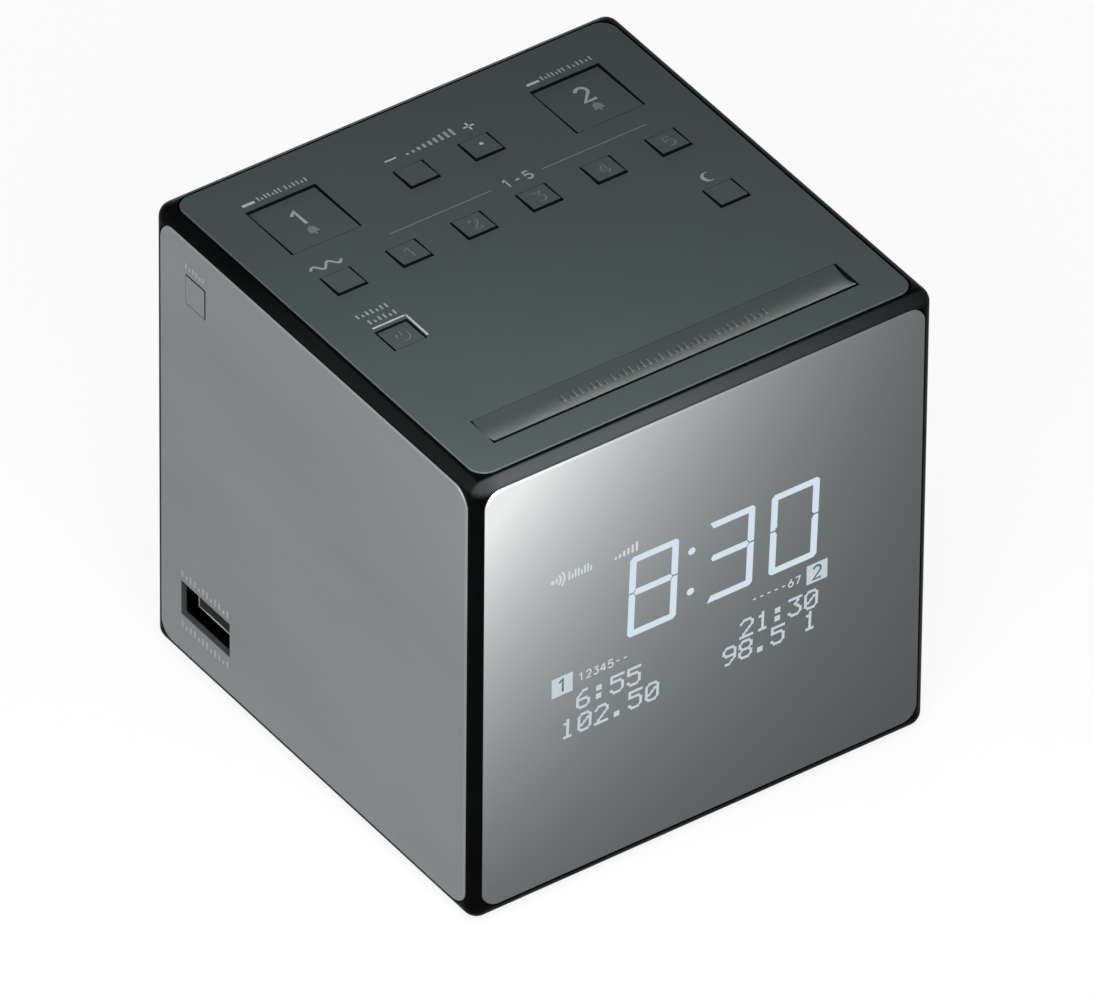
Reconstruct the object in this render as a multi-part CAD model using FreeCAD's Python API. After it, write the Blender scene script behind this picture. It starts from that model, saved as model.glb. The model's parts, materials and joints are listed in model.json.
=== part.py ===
import FreeCAD, Part
import math
import os

# Cube alarm clock radio, in millimetres. +Z is up, the display faces -Y, the USB port faces -X.
# The origin is on the floor under the middle of the case.

# Overall size
case_width = 100.9
case_depth = 101.4
case_height = 101.6
foot_height = 0.7
key_rise = 0.3

# Shell of the case
edge_radius = 3.0
panel_proud = 0.12
pocket_wall = 1.6
panel_seat = 0.05
panel_gap = 0.2
ledge_width = 3.0
overrun = 1.0

# Front window and side panels
window_thickness = 1.8
window_inset = 2.25
window_foot_inset = 2.8
window_radius = 3.6
side_thickness = 1.2
side_inset = 2.5
side_radius = 3.8
panel_chamfer = 0.3

# Top panel
top_thickness = 1.8
top_inset = 2.6
top_radius = 3.4
top_groove = 0.4
top_chamfer = 0.2

# Rear and base covers
rear_thickness = 2.2
base_thickness = 2.0
cover_inset = 2.6
cover_radius = 3.4
cover_chamfer = 0.25

# Keys cut into the top panel: tongues on a thin hinge
key_slot = 0.45
hinge_gap = 0.08
hinge_lip = 0.5
hinge_relief = 0.6
column_count = 6
column_left_inset = 15.05
column_right_inset = 14.75
row_pitch = 18.05
preset_row_inset = 41.7
small_key_width = 5.8
small_key_length = 5.65
small_key_arm = 4.0
alarm_key_size = 14.4
alarm_key_side_inset = 19.29
alarm_key_rear_inset = 27.7
alarm_key_arm = 9.0
alarm_key_sink = 0.35
reset_key_width = 6.25
reset_key_length = 6.1
reset_key_side_inset = 14.55
reset_key_rear_inset = 60.8
reset_key_sink = 0.15
snooze_side_inset = 10.95
snooze_length = 7.0
snooze_front_inset = 16.6
snooze_arm = 4.5
snooze_dish = 0.75
snooze_lift = 0.12
snooze_rib = 1.2
snooze_rib_inset = 3.0

# Key on the left panel, with its hinge at the rear
side_key_width = 6.2
side_key_length = 5.9
side_key_rear_inset = 10.9
side_key_drop = 13.3
side_key_arm = 4.0
side_key_low_slot = 0.15

# Posts under the keys, and the switches that they press
post_root_radius = 1.2
post_tip_radius = 0.8
post_gap = 0.1
switch_size = 6.0
switch_height = 3.5
switch_floor = 0.8
stem_reach = 5.0
stem_radius = 1.7
stem_clearance = 0.08
stem_travel = 0.25
stem_float = 0.15
side_stem_inset = 1.2
side_stem_length = 3.4
side_switch_depth = 6.5
side_switch_low = 3.1

# Screws: one kind, and a shorter one for the loudspeaker
screw_radius = 0.95
screw_head_radius = 2.0
screw_head_height = 1.3
screw_length = 6.0
short_screw_length = 4.0
screw_play = 0.05
screw_hole_radius = 1.15
screw_cross_width = 0.55
screw_cross_depth = 0.7
screw_cross_share = 0.7
head_clearance = 0.3
counterbore_depth = 1.4
pilot_extra = 0.6

# Blocks and bosses of the shell
block_size = 8.0
base_block_height = 7.8
rear_block_depth = 5.0
boss_radius = 2.4
board_gap = 0.7

# Key board under the top wall
key_board_drop = 6.25
board_thickness = 1.2
board_margin = 0.9
key_board_front_gap = 4.3
key_board_rear_gap = 7.35
key_boss_column_shares = (0.32, 0.04, 0.18)
key_boss_rear_inset = 3.3
key_boss_middle_inset = 38.75
key_boss_front_inset = 14.85

# Liquid crystal display, its backlight, holder and board
display_left_gap = 2.8
display_right_gap = 8.4
display_low_gap = 15.35
display_high_gap = 10.15
lcd_side_inset = 5.0
lcd_end_inset = 9.0
view_side_inset = 2.0
view_end_inset = 2.5
lcd_thickness = 2.8
guide_thickness = 3.0
guide_foot_gap = 3.4
stack_gap = 0.05
holder_wall = 2.4
holder_back = 0.8
holder_play = 0.2
display_board_thickness = 1.6
display_boss_inset_x = 3.5
display_boss_inset_z = 3.0
led_count = 5
led_width = 3.0
led_height = 1.4
led_depth = 2.0

# Main board above the base cover
main_board_lift = 6.85
main_board_thickness = 1.6
main_board_side_gap = 2.6
main_board_front_gap = 11.25
main_board_rear_gap = 5.85
main_post_radius = 3.0
main_post_shares = ((0.08, 0.08), (0.92, 0.08), (0.17, 0.91), (0.92, 0.91))

# Parts on the boards. Places are shares of the board, sizes are width, depth and height
tuner_shares = (0.66, 0.29)
tuner_size = (26.0, 20.0, 4.0)
tuner_rim = 1.2
tuner_step = 0.5
chip_shares = ((0.37, 0.31), (0.34, 0.65), (0.2, 0.21), (0.17, 0.68), (0.57, 0.57))
chip_sizes = ((14.0, 14.0, 1.4), (8.0, 6.0, 1.6), (6.0, 5.0, 1.5), (6.0, 5.0, 2.0), (7.0, 7.0, 1.2))
driver_shares = (0.43, 0.53)
driver_size = (12.0, 12.0, 1.2)
capacitor_shares = ((0.14, 0.49), (0.77, 0.62), (0.88, 0.62), (0.88, 0.47), (0.48, 0.78), (0.23, 0.07))
capacitor_sizes = ((4.0, 11.0), (4.0, 11.0), (4.0, 11.0), (3.0, 8.0), (3.0, 8.0), (2.5, 7.0))
capacitor_groove = 0.35
capacitor_groove_height = 1.2

# USB port on the left
usb_rear_inset = 17.05
usb_z = 15.75
usb_opening_width = 15.5
usb_opening_height = 7.7
usb_recess = 3.0
usb_width = 13.1
usb_height = 5.7
usb_length = 14.0
usb_wall = 0.35
usb_tongue_width = 11.1
usb_tongue_thickness = 1.85
usb_tongue_drop = 0.75
usb_tongue_setback = 0.6
usb_block_depth = 3.5
usb_play = 0.05

# Supply socket in the rear cover
jack_x = -18.0
jack_width = 9.0
jack_height = 8.8
jack_length = 12.5
jack_axis_height = 4.6
jack_collar_radius = 3.9
jack_collar_inset = 0.5
jack_bore_radius = 2.9
jack_bore_depth = 9.5
jack_pin_radius = 1.0
jack_pin_setback = 0.8
jack_hole_play = 0.3
jack_shoulder_gap = 0.3

# Gland of the aerial lead in the rear cover
gland_side_inset = 10.45
gland_drop = 19.3
gland_bore_radius = 1.2
gland_body_radius = 2.6
gland_flange_radius = 3.7
gland_flange = 0.8
gland_play = 0.1
gland_inset = 0.1
gland_tail = 3.0
gland_tail_radius = 2.1

# Loudspeaker behind the rear cover, with sizes measured back from the face of its flange
speaker_half = 29.0
speaker_corner = 6.0
speaker_screw_offset = 24.5
speaker_standoff = 1.9
flange_thickness = 1.5
flange_hole_radius = 24.6
basket_shoulder = 1.8
basket_low_radius = 17.5
basket_depth = 10.7
basket_wall = 1.2
basket_windows = 4
basket_window_width = 13.0
basket_window_margin = 1.6
speaker_ring_radius = 27.8
speaker_ring_wall = 1.5
speaker_boss_radius = 3.0
plate_hole_radius = 8.2
top_plate_radius = 15.0
top_plate_thickness = 2.0
gap_outer_radius = 8.0
magnet_radius = 17.0
magnet_hole_radius = 9.6
magnet_thickness = 8.0
back_plate_thickness = 2.0
pole_radius = 6.6
pole_setback = 0.2
coil_inner_radius = 7.0
coil_outer_radius = 7.6
coil_low = 17.0
coil_high = 8.9
cone_neck_radius = 7.7
cone_neck = 9.6
cone_edge_radius = 21.5
cone_edge = 2.4
cone_wall = 0.6
cap_rise = 3.2
surround_inner_radius = 21.8
surround_outer_radius = 24.8
surround_lip = 1.3
surround_thickness = 0.4
surround_rise = 1.1
surround_seat = 0.1
spider_outer_radius = 16.0
spider_inner_radius = 7.75
spider_foot = 2.0
spider_gap = 0.1
spider_thickness = 0.3
spider_wave = 0.3
spider_waves = 3

# Holes of the loudspeaker grille, in rings
grille_rings = 6
grille_ring_pitch = 3.7
grille_hole_radius = 1.05

# Tray of the backup cell, which slides out of the rear
tray_x = 13.0
tray_width = 25.0
tray_height = 4.0
tray_length = 33.0
tray_lift = 0.35
tray_bezel_side = 0.7
tray_floor = 0.7
tray_end_wall = 1.5
tray_play = 0.15
tray_grip_width = 12.0
tray_grip_depth = 0.8
tray_grip_height = 1.2
cell_radius = 10.0
cell_thickness = 3.2
cell_play = 0.15
cell_step = 0.3
cell_seat = 0.05
rail_width = 1.5
rail_overlap = 3.0
rail_spacing = 8.0
rail_front_inset = 0.5
rail_rear_inset = 4.2
contact_width = 3.0
contact_length = 9.0
contact_thickness = 0.25
contact_gap = 0.12

# Feet, vents and the bare plate of the base cover
foot_radius = 6.0
foot_inset = 14.45
foot_recess = 1.0
foot_seat = 0.05
foot_chamfer = 0.2
vent_count = 6
vent_pitch = 4.0
vent_width = 1.6
vent_length = 14.0
vent_y = -22.0
label_width = 44.0
label_depth = 18.0
label_recess = 0.25
label_y = 6.0

# Flat cables between the boards and the loudspeaker
cable_thickness = 0.3
cable_lift = 0.1
display_cable_width = 14.0
display_cable_x = -8.0
display_cable_hold = 9.0
display_cable_hang = 2.0
display_cable_out = 4.0
display_cable_foot = 7.0
key_cable_y = -9.0
key_cable_width = 9.0
key_cable_out = 3.6
key_cable_hold = 5.0
key_cable_drop = 5.0
key_cable_foot = 8.0
lead_width = 2.4
lead_x = 18.5
lead_top = 4.0
lead_hang = 4.0
lead_foot = 6.0

# Two edges count as lying on one plane within this distance
same_plane = 0.002

# Planes worked out from the sizes above
top_face = case_height - key_rise
shell_x = case_width / 2 - panel_proud
shell_y = case_depth / 2 - panel_proud
shell_bottom = foot_height
shell_top = top_face - panel_proud
window_face = -case_depth / 2
rear_face = case_depth / 2
side_face = case_width / 2
inner_x = side_face - side_thickness - panel_seat - pocket_wall
inner_front = window_face + window_thickness + panel_seat + pocket_wall
rear_seat = rear_face - rear_thickness - panel_seat
inner_rear = rear_seat - pocket_wall
inner_top = top_face - top_thickness - panel_seat - pocket_wall
base_seat = shell_bottom + base_thickness + panel_seat
inner_bottom = base_seat + pocket_wall
rear_inside = rear_face - rear_thickness
base_inside = shell_bottom + base_thickness

# Places of the keys, ports and feet
first_column = column_left_inset - side_face
column_pitch = (case_width - column_left_inset - column_right_inset) / (column_count - 1)
preset_row_front = rear_face - preset_row_inset
alarm_key_x = side_face - alarm_key_side_inset
alarm_key_front = rear_face - alarm_key_rear_inset
reset_key_x = reset_key_side_inset - side_face
reset_key_front = rear_face - reset_key_rear_inset
snooze_width = case_width - 2 * snooze_side_inset
snooze_rear = window_face + snooze_front_inset
side_key_hinge_y = rear_face - side_key_rear_inset
side_key_z = top_face - side_key_drop
usb_y = rear_face - usb_rear_inset
gland_x = side_face - gland_side_inset
gland_z = top_face - gland_drop
foot_x = side_face - foot_inset
foot_y = rear_face - foot_inset

# Outlines of the panels, as low and high limits on the two axes of their plane
window_outline = (window_inset - shell_x, shell_x - window_inset,
                  shell_bottom + window_foot_inset, shell_top - window_inset)
side_outline = (side_inset - shell_y, shell_y - side_inset, shell_bottom + side_inset, shell_top - side_inset)
top_outline = (top_inset - shell_x, shell_x - top_inset, top_inset - shell_y, shell_y - top_inset)
rear_outline = (cover_inset - shell_x, shell_x - cover_inset, shell_bottom + cover_inset, shell_top - cover_inset)
base_outline = (cover_inset - shell_x, shell_x - cover_inset, cover_inset - shell_y, shell_y - cover_inset)

# Levels of the boards
key_board_face = inner_top - key_board_drop
key_board_under = key_board_face - board_thickness
stem_top = key_board_face + stem_reach
key_underside = top_face - top_thickness
main_board_under = inner_bottom + main_board_lift
main_board_top = main_board_under + main_board_thickness
speaker_z = (main_board_top + jack_height + inner_top) / 2
display_front = inner_front + stack_gap
guide_front = display_front + lcd_thickness + stack_gap
holder_back_face = guide_front + guide_thickness + stack_gap
display_board_face = holder_back_face + holder_back + stack_gap
display_board_back = display_board_face + display_board_thickness
tray_bottom = shell_bottom + cover_inset + ledge_width + tray_lift
flange_face = rear_inside - speaker_standoff
main_board_outline = (main_board_side_gap - inner_x, inner_x - main_board_side_gap,
                      inner_front + main_board_front_gap, inner_rear - main_board_rear_gap)
display_board_outline = (display_left_gap - inner_x, inner_x - display_right_gap,
                         inner_bottom + display_low_gap, inner_top - display_high_gap)
key_board_half_width = -first_column + switch_size / 2 + board_margin
key_board_outline = (-key_board_half_width, key_board_half_width,
                     inner_front + key_board_front_gap, inner_rear - key_board_rear_gap)
usb_outline = (usb_y - usb_opening_width / 2, usb_y + usb_opening_width / 2,
               usb_z - usb_opening_height / 2, usb_z + usb_opening_height / 2)
usb_mouth = usb_recess - side_face
side_stem_tip = side_stem_inset - inner_x
side_post_tip = side_stem_tip - post_gap


def place(axis, along, u, v):
    """A point from its distance along one axis and along the other two, in X, Y, Z order."""
    if axis == "x":
        return FreeCAD.Vector(along, u, v)
    if axis == "y":
        return FreeCAD.Vector(u, along, v)
    return FreeCAD.Vector(u, v, along)


def block(corner, opposite):
    """A box between two corners, in any order."""
    low = [min(a, b) for a, b in zip(corner, opposite)]
    size = [abs(a - b) for a, b in zip(corner, opposite)]
    return Part.makeBox(size[0], size[1], size[2], FreeCAD.Vector(*low))


def box(x0, x1, y0, y1, z0, z1):
    return block((x0, y0, z0), (x1, y1, z1))


def span(edge, axis):
    """The lowest and highest coordinate of an edge on an axis."""
    values = [getattr(vertex, axis.upper()) for vertex in edge.Vertexes]
    middle = edge.valueAt((edge.FirstParameter + edge.LastParameter) / 2)
    values.append(getattr(middle, axis))
    return min(values), max(values)


def edges_along(shape, axis):
    """Edges that run along the axis."""
    others = [name for name in "xyz" if name != axis]
    found = []
    for edge in shape.Edges:
        flat = [span(edge, name)[1] - span(edge, name)[0] < same_plane for name in others]
        if all(flat):
            found.append(edge)
    return found


def edges_on(shape, axis, level):
    """Edges that lie on the plane at this level of the axis."""
    return [edge for edge in shape.Edges if all(abs(value - level) < same_plane for value in span(edge, axis))]


def slab(axis, start, end, outline, radius=0):
    """A plate square to an axis, with rounded corners."""
    body = block(place(axis, start, outline[0], outline[2]), place(axis, end, outline[1], outline[3]))
    if radius > 0:
        body = body.makeFillet(radius, edges_along(body, axis))
    return body


def grown(outline, by):
    return (outline[0] - by, outline[1] + by, outline[2] - by, outline[3] + by)


def inset(outline, u, v):
    return (outline[0] + u, outline[1] - u, outline[2] + v, outline[3] - v)


def centred(u, v, width, height):
    return (u - width / 2, u + width / 2, v - height / 2, v + height / 2)


def spot(outline, shares):
    """A place on a board, from its shares of the board's width and depth."""
    return (outline[0] + shares[0] * (outline[1] - outline[0]), outline[2] + shares[1] * (outline[3] - outline[2]))


def rod(axis, start, end, u, v, radius, end_radius=None):
    """A round bar, or a taper, from start to end along an axis."""
    direction = place(axis, math.copysign(1, end - start), 0, 0)
    base = place(axis, start, u, v)
    if end_radius is None:
        return Part.makeCylinder(radius, abs(end - start), base, direction)
    return Part.makeCone(radius, end_radius, abs(end - start), base, direction)


def turned(points, depth_origin, middle_z):
    """A solid of revolution round the loudspeaker's axis. Points are radius and distance behind the flange."""
    corners = [FreeCAD.Vector(radius, depth_origin - back, 0) for radius, back in points]
    face = Part.Face(Part.makePolygon(corners + corners[:1]))
    body = face.revolve(FreeCAD.Vector(0, 0, 0), FreeCAD.Vector(0, 1, 0), 360)
    return Part.Solid(body.Shells[0]).translated(FreeCAD.Vector(0, 0, middle_z))


def joined(first, others):
    return first.fuse(others).removeSplitter() if others else first


def group(solids):
    """Separate solids kept in one node."""
    return Part.makeCompound(solids)


# Keys: name, middle x, hinge y, side of the hinge that is free, width, length, rise, dish, arm
def column(index):
    return first_column + index * column_pitch


def small_key(name, index, row):
    """A small key on the grid, with its hinge at the rear."""
    hinge = preset_row_front + row * row_pitch + small_key_length
    return dict(name=name, x=column(index), hinge=hinge, side=-1, width=small_key_width,
                length=small_key_length, rise=key_rise, dish=0, arm=small_key_arm)


def top_key_list():
    """Every key of the top panel."""
    keys = []
    for number, side in ((1, -1), (2, 1)):
        keys.append(dict(name=f"alarm_key_{number}", x=side * alarm_key_x, hinge=alarm_key_front, side=1,
                         width=alarm_key_size, length=alarm_key_size, rise=-alarm_key_sink, dish=0,
                         arm=alarm_key_arm))
    keys.append(small_key("volume_down_key", 2, 1))
    keys.append(small_key("volume_up_key", 3, 1))
    keys.append(small_key("band_key", 0, 0))
    for number in range(1, 6):
        keys.append(small_key(f"preset_key_{number}", number, 0))
    keys.append(small_key("sleep_key", column_count - 1, -1))
    keys.append(dict(name="alarm_reset_key", x=reset_key_x, hinge=reset_key_front, side=1,
                     width=reset_key_width, length=reset_key_length, rise=-reset_key_sink, dish=0,
                     arm=small_key_arm))
    keys.append(dict(name="snooze_bar", x=0, hinge=snooze_rear, side=-1, width=snooze_width,
                     length=snooze_length, rise=snooze_lift, dish=snooze_dish, arm=snooze_arm))
    return keys


top_keys = top_key_list()


def key_opening(key, low, high):
    """The space that a key takes in the panel or wall around it, between two levels."""
    free = key["hinge"] + key["side"] * (key["length"] + key_slot)
    half = key["width"] / 2 + key_slot
    return box(key["x"] - half, key["x"] + half, key["hinge"], free, low, high)


def key_press_y(key):
    return key["hinge"] + key["side"] * key["arm"]


def top_key(key):
    """A key's tongue with its thin hinge lip, and the post that presses its switch."""
    def at(distance, level):
        return FreeCAD.Vector(key["x"] - key["width"] / 2, key["hinge"] + key["side"] * distance, level)

    near = at(hinge_gap, top_face)
    far = at(key["length"], top_face + key["rise"])
    rest = [far, at(key["length"], key_underside), at(hinge_relief, key_underside),
            at(hinge_relief, top_face - hinge_lip), at(hinge_gap, top_face - hinge_lip), near]
    if key["dish"] > 0:
        middle = at((hinge_gap + key["length"]) / 2, top_face + key["rise"] / 2 - key["dish"])
        edges = [Part.Arc(near, middle, far).toShape()]
    else:
        edges = [Part.makeLine(near, far)]
    edges += [Part.makeLine(a, b) for a, b in zip(rest, rest[1:])]
    tongue = Part.Face(Part.Wire(edges)).extrude(FreeCAD.Vector(key["width"], 0, 0))
    post = rod("z", key_underside + hinge_lip, stem_top + post_gap, key["x"], key_press_y(key),
               post_root_radius, post_tip_radius)
    extras = [post]
    if key["name"] == "snooze_bar":
        half = key["width"] / 2 - snooze_rib_inset
        middle = key_press_y(key)
        extras.append(box(-half, half, middle - snooze_rib / 2, middle + snooze_rib / 2,
                          key_underside + hinge_lip, key_underside - snooze_rib))
    return joined(tongue, extras)


def side_key_outline():
    """Limits of the left panel's key on Y and Z."""
    return (side_key_hinge_y - side_key_length, side_key_hinge_y,
            side_key_z - side_key_width / 2, side_key_z + side_key_width / 2)


def side_key_opening(start, end):
    front, hinge, low, high = side_key_outline()
    return box(start, end, front - key_slot, hinge, low - side_key_low_slot, high + key_slot)


def side_key():
    front, hinge, low, high = side_key_outline()

    def at(distance, depth):
        return FreeCAD.Vector(depth - side_face, hinge - distance, low)

    corners = [at(hinge_gap, 0), at(side_key_length, 0), at(side_key_length, side_thickness),
               at(hinge_relief, side_thickness), at(hinge_relief, hinge_lip), at(hinge_gap, hinge_lip)]
    tongue = Part.Face(Part.makePolygon(corners + corners[:1])).extrude(FreeCAD.Vector(0, 0, high - low))
    post = rod("x", hinge_lip - side_face, side_post_tip, hinge - side_key_arm, side_key_z,
               post_root_radius, post_tip_radius)
    return joined(tongue, [post])


# Screws: where the head sits, the axis, and the way that the shank points
def corner_places():
    """Screw places of the base cover."""
    offset = block_size / 2
    return [(x, y) for x in (offset - inner_x, inner_x - offset) for y in (inner_front + offset, inner_rear - offset)]


def rear_corner_places():
    """Screw places of the rear cover: clear above the main board, and at the top."""
    offset = block_size / 2
    low = main_board_top + board_gap + offset
    return [(x, z) for x in (offset - inner_x, inner_x - offset) for z in (low, inner_top - offset)]


def display_boss_places():
    low_x, high_x, low_z, high_z = inset(display_board_outline, display_boss_inset_x, display_boss_inset_z)
    return [(x, z) for x in (low_x, high_x) for z in (low_z, high_z)]


def key_boss_places():
    left, right, front, rear = key_board_outline
    rows = (rear - key_boss_rear_inset, rear - key_boss_middle_inset, front + key_boss_front_inset)
    made = []
    for share, y in zip(key_boss_column_shares, rows):
        inward = share * (right - left)
        made += [(left + inward, y), (right - inward, y)]
    return made


def main_post_places():
    return [spot(main_board_outline, shares) for shares in main_post_shares]


def speaker_screw_places():
    return [(i * speaker_screw_offset, speaker_z + j * speaker_screw_offset) for i in (-1, 1) for j in (-1, 1)]


def screw(axis, seat, way, u, v, length=screw_length):
    """A pan head screw whose head sits on the seat level and whose shank runs the way given."""
    head_end = seat - way * screw_head_height
    head = rod(axis, seat, head_end, u, v, screw_head_radius)
    head = head.makeFillet(screw_head_height / 2, edges_on(head, axis, head_end))
    shank = rod(axis, seat, seat + way * length, u, v, screw_radius)
    half = screw_cross_share * screw_head_radius
    cuts = []
    for wide, high in ((half, screw_cross_width / 2), (screw_cross_width / 2, half)):
        outline = centred(u, v, 2 * wide, 2 * high)
        cuts.append(slab(axis, head_end - way * overrun, head_end + way * screw_cross_depth, outline))
    return joined(head, [shank]).cut(cuts)


def pilot(axis, seat, way, u, v, length=screw_length):
    """The hole that a screw's shank goes into."""
    return rod(axis, seat - way * overrun, seat + way * (length + pilot_extra), u, v, screw_radius + screw_play)


def screws():
    made = []
    for u, v in rear_corner_places():
        made.append(screw("y", rear_face - counterbore_depth, -1, u, v))
    for u, v in corner_places():
        made.append(screw("z", shell_bottom + counterbore_depth, 1, u, v))
    for u, v in key_boss_places():
        made.append(screw("z", key_board_under, 1, u, v))
    for u, v in display_boss_places():
        made.append(screw("y", display_board_back, -1, u, v))
    for u, v in main_post_places():
        made.append(screw("z", main_board_top, -1, u, v))
    for u, v in speaker_screw_places():
        made.append(screw("y", flange_face - flange_thickness, 1, u, v, short_screw_length))
    return group(made)


def screw_clearance(axis, seat, way, u, v):
    """The through hole and counterbore for a screw in a cover."""
    hole = rod(axis, seat - way * overrun, seat + way * (base_thickness + rear_thickness), u, v, screw_hole_radius)
    well = rod(axis, seat - way * (counterbore_depth + overrun), seat, u, v, screw_head_radius + head_clearance)
    return [hole, well]


# Case
def body_shell():
    """Black shell with rounded edges, pockets for the panels, and bosses inside."""
    outer = box(-shell_x, shell_x, -shell_y, shell_y, shell_bottom, shell_top)
    outer = outer.makeFillet(edge_radius, outer.Edges)
    left_seat = side_thickness + panel_seat - side_face
    side_pocket = grown(side_outline, panel_gap)
    base_opening = grown(base_outline, -ledge_width)
    rear_opening = grown(rear_outline, -ledge_width)
    cuts = [
        box(-inner_x, inner_x, inner_front, inner_rear, inner_bottom, inner_top),
        slab("y", rear_seat, rear_face + overrun, grown(rear_outline, panel_gap), cover_radius + panel_gap),
        slab("y", inner_rear - overrun, rear_face, rear_opening),
        slab("z", base_seat, shell_bottom - overrun, grown(base_outline, panel_gap), cover_radius + panel_gap),
        slab("z", inner_bottom + overrun, shell_bottom, base_opening),
        slab("y", window_face + window_thickness + panel_seat, window_face - overrun,
             grown(window_outline, panel_gap), window_radius + panel_gap),
        slab("y", inner_front + overrun, window_face, inset(lcd_outline(), view_side_inset, view_end_inset)),
        slab("x", left_seat, -side_face - overrun, side_pocket, side_radius + panel_gap),
        slab("x", -left_seat, side_face + overrun, side_pocket, side_radius + panel_gap),
        slab("z", top_face - top_thickness - panel_seat, top_face + overrun,
             grown(top_outline, top_groove), top_radius + top_groove),
        slab("x", overrun - inner_x, -side_face, usb_outline),
        side_key_opening(overrun - inner_x, -side_face),
    ]
    cuts += [key_opening(key, inner_top - overrun, top_face) for key in top_keys]
    shell = outer.cut(cuts)

    half = block_size / 2
    sink = pocket_wall / 2
    adds = []
    for x, y in corner_places():
        outline = (x - half, x + half, y - half, y + half)
        adds.append(slab("z", base_seat, base_seat + base_block_height, grown(outline, sink)))
    for x, z in rear_corner_places():
        outline = grown((x - half, x + half, z - half, z + half), sink)
        if z < speaker_z:
            outline = outline[:2] + (z - half, z + half)
        adds.append(slab("y", inner_rear - rear_block_depth, rear_seat, outline))
    for x, z in display_boss_places():
        adds.append(rod("y", inner_front - sink, display_board_face, x, z, boss_radius))
    for x, y in key_boss_places():
        adds.append(rod("z", inner_top + sink, key_board_face, x, y, boss_radius))
    shell = joined(shell, adds)

    holes = []
    for x, y in corner_places():
        holes.append(pilot("z", shell_bottom + counterbore_depth, 1, x, y))
    for x, z in rear_corner_places():
        holes.append(pilot("y", rear_face - counterbore_depth, -1, x, z))
    for x, z in display_boss_places():
        holes.append(pilot("y", display_board_back, -1, x, z))
    for x, y in key_boss_places():
        holes.append(pilot("z", key_board_under, 1, x, y))
    return shell.cut(holes)


def softened(plate, axis, level, size):
    """A plate with a small chamfer round its outer face."""
    return plate.makeChamfer(size, edges_on(plate, axis, level))


def front_window():
    plate = slab("y", window_face, window_face + window_thickness, window_outline, window_radius)
    return softened(plate, "y", window_face, panel_chamfer)


def left_panel():
    plate = slab("x", -side_face, side_thickness - side_face, side_outline, side_radius)
    plate = softened(plate, "x", -side_face, panel_chamfer)
    start = -side_face - overrun
    end = side_thickness + overrun - side_face
    return plate.cut([slab("x", start, end, usb_outline), side_key_opening(start, end)])


def right_panel():
    plate = slab("x", side_face, side_face - side_thickness, side_outline, side_radius)
    return softened(plate, "x", side_face, panel_chamfer)


def top_panel():
    plate = slab("z", key_underside, top_face, top_outline, top_radius)
    plate = softened(plate, "z", top_face, top_chamfer)
    return plate.cut([key_opening(key, key_underside - overrun, top_face + overrun) for key in top_keys])


def tray_outline(by):
    """Limits of the cell tray's cross section on X and Z, grown by a clearance."""
    return grown((tray_x - tray_width / 2, tray_x + tray_width / 2, tray_bottom, tray_bottom + tray_height), by)


def tray_bezel_outline(by):
    outline = tray_outline(by)
    return (outline[0] - tray_bezel_side, outline[1] + tray_bezel_side, outline[2], outline[3])


def grille_holes(start, end):
    """Round holes in rings about the loudspeaker's axis."""
    holes = [rod("y", start, end, 0, speaker_z, grille_hole_radius)]
    for ring in range(1, grille_rings + 1):
        for step in range(6 * ring):
            angle = 2 * math.pi * step / (6 * ring)
            radius = ring * grille_ring_pitch
            holes.append(rod("y", start, end, radius * math.cos(angle),
                             speaker_z + radius * math.sin(angle), grille_hole_radius))
    return holes


def rear_cover():
    plate = slab("y", rear_inside, rear_face, rear_outline, cover_radius)
    plate = softened(plate, "y", rear_face, cover_chamfer)
    boss_end = flange_face + panel_seat
    root = rear_inside + panel_seat
    ring = rod("y", root, boss_end, 0, speaker_z, speaker_ring_radius)
    ring = ring.cut(rod("y", root + overrun, boss_end - overrun, 0, speaker_z,
                        speaker_ring_radius - speaker_ring_wall))
    bosses = [rod("y", root, boss_end, x, z, speaker_boss_radius) for x, z in speaker_screw_places()]
    plate = joined(plate, [ring] + bosses)
    start = rear_inside - overrun
    end = rear_face + overrun
    cuts = grille_holes(start, end)
    cuts.append(rod("y", start, end, jack_x, main_board_top + jack_axis_height,
                    jack_collar_radius + jack_hole_play))
    cuts.append(rod("y", start, end, gland_x, gland_z, gland_body_radius + gland_play))
    cuts.append(rod("y", rear_face - gland_flange - gland_inset - gland_play, end, gland_x, gland_z,
                    gland_flange_radius + gland_play))
    cuts.append(slab("y", start, end, tray_bezel_outline(tray_play)))
    for x, z in rear_corner_places():
        cuts += screw_clearance("y", rear_face - counterbore_depth, -1, x, z)
    for x, z in speaker_screw_places():
        cuts.append(pilot("y", flange_face - flange_thickness, 1, x, z, short_screw_length))
    return plate.cut(cuts)


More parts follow.
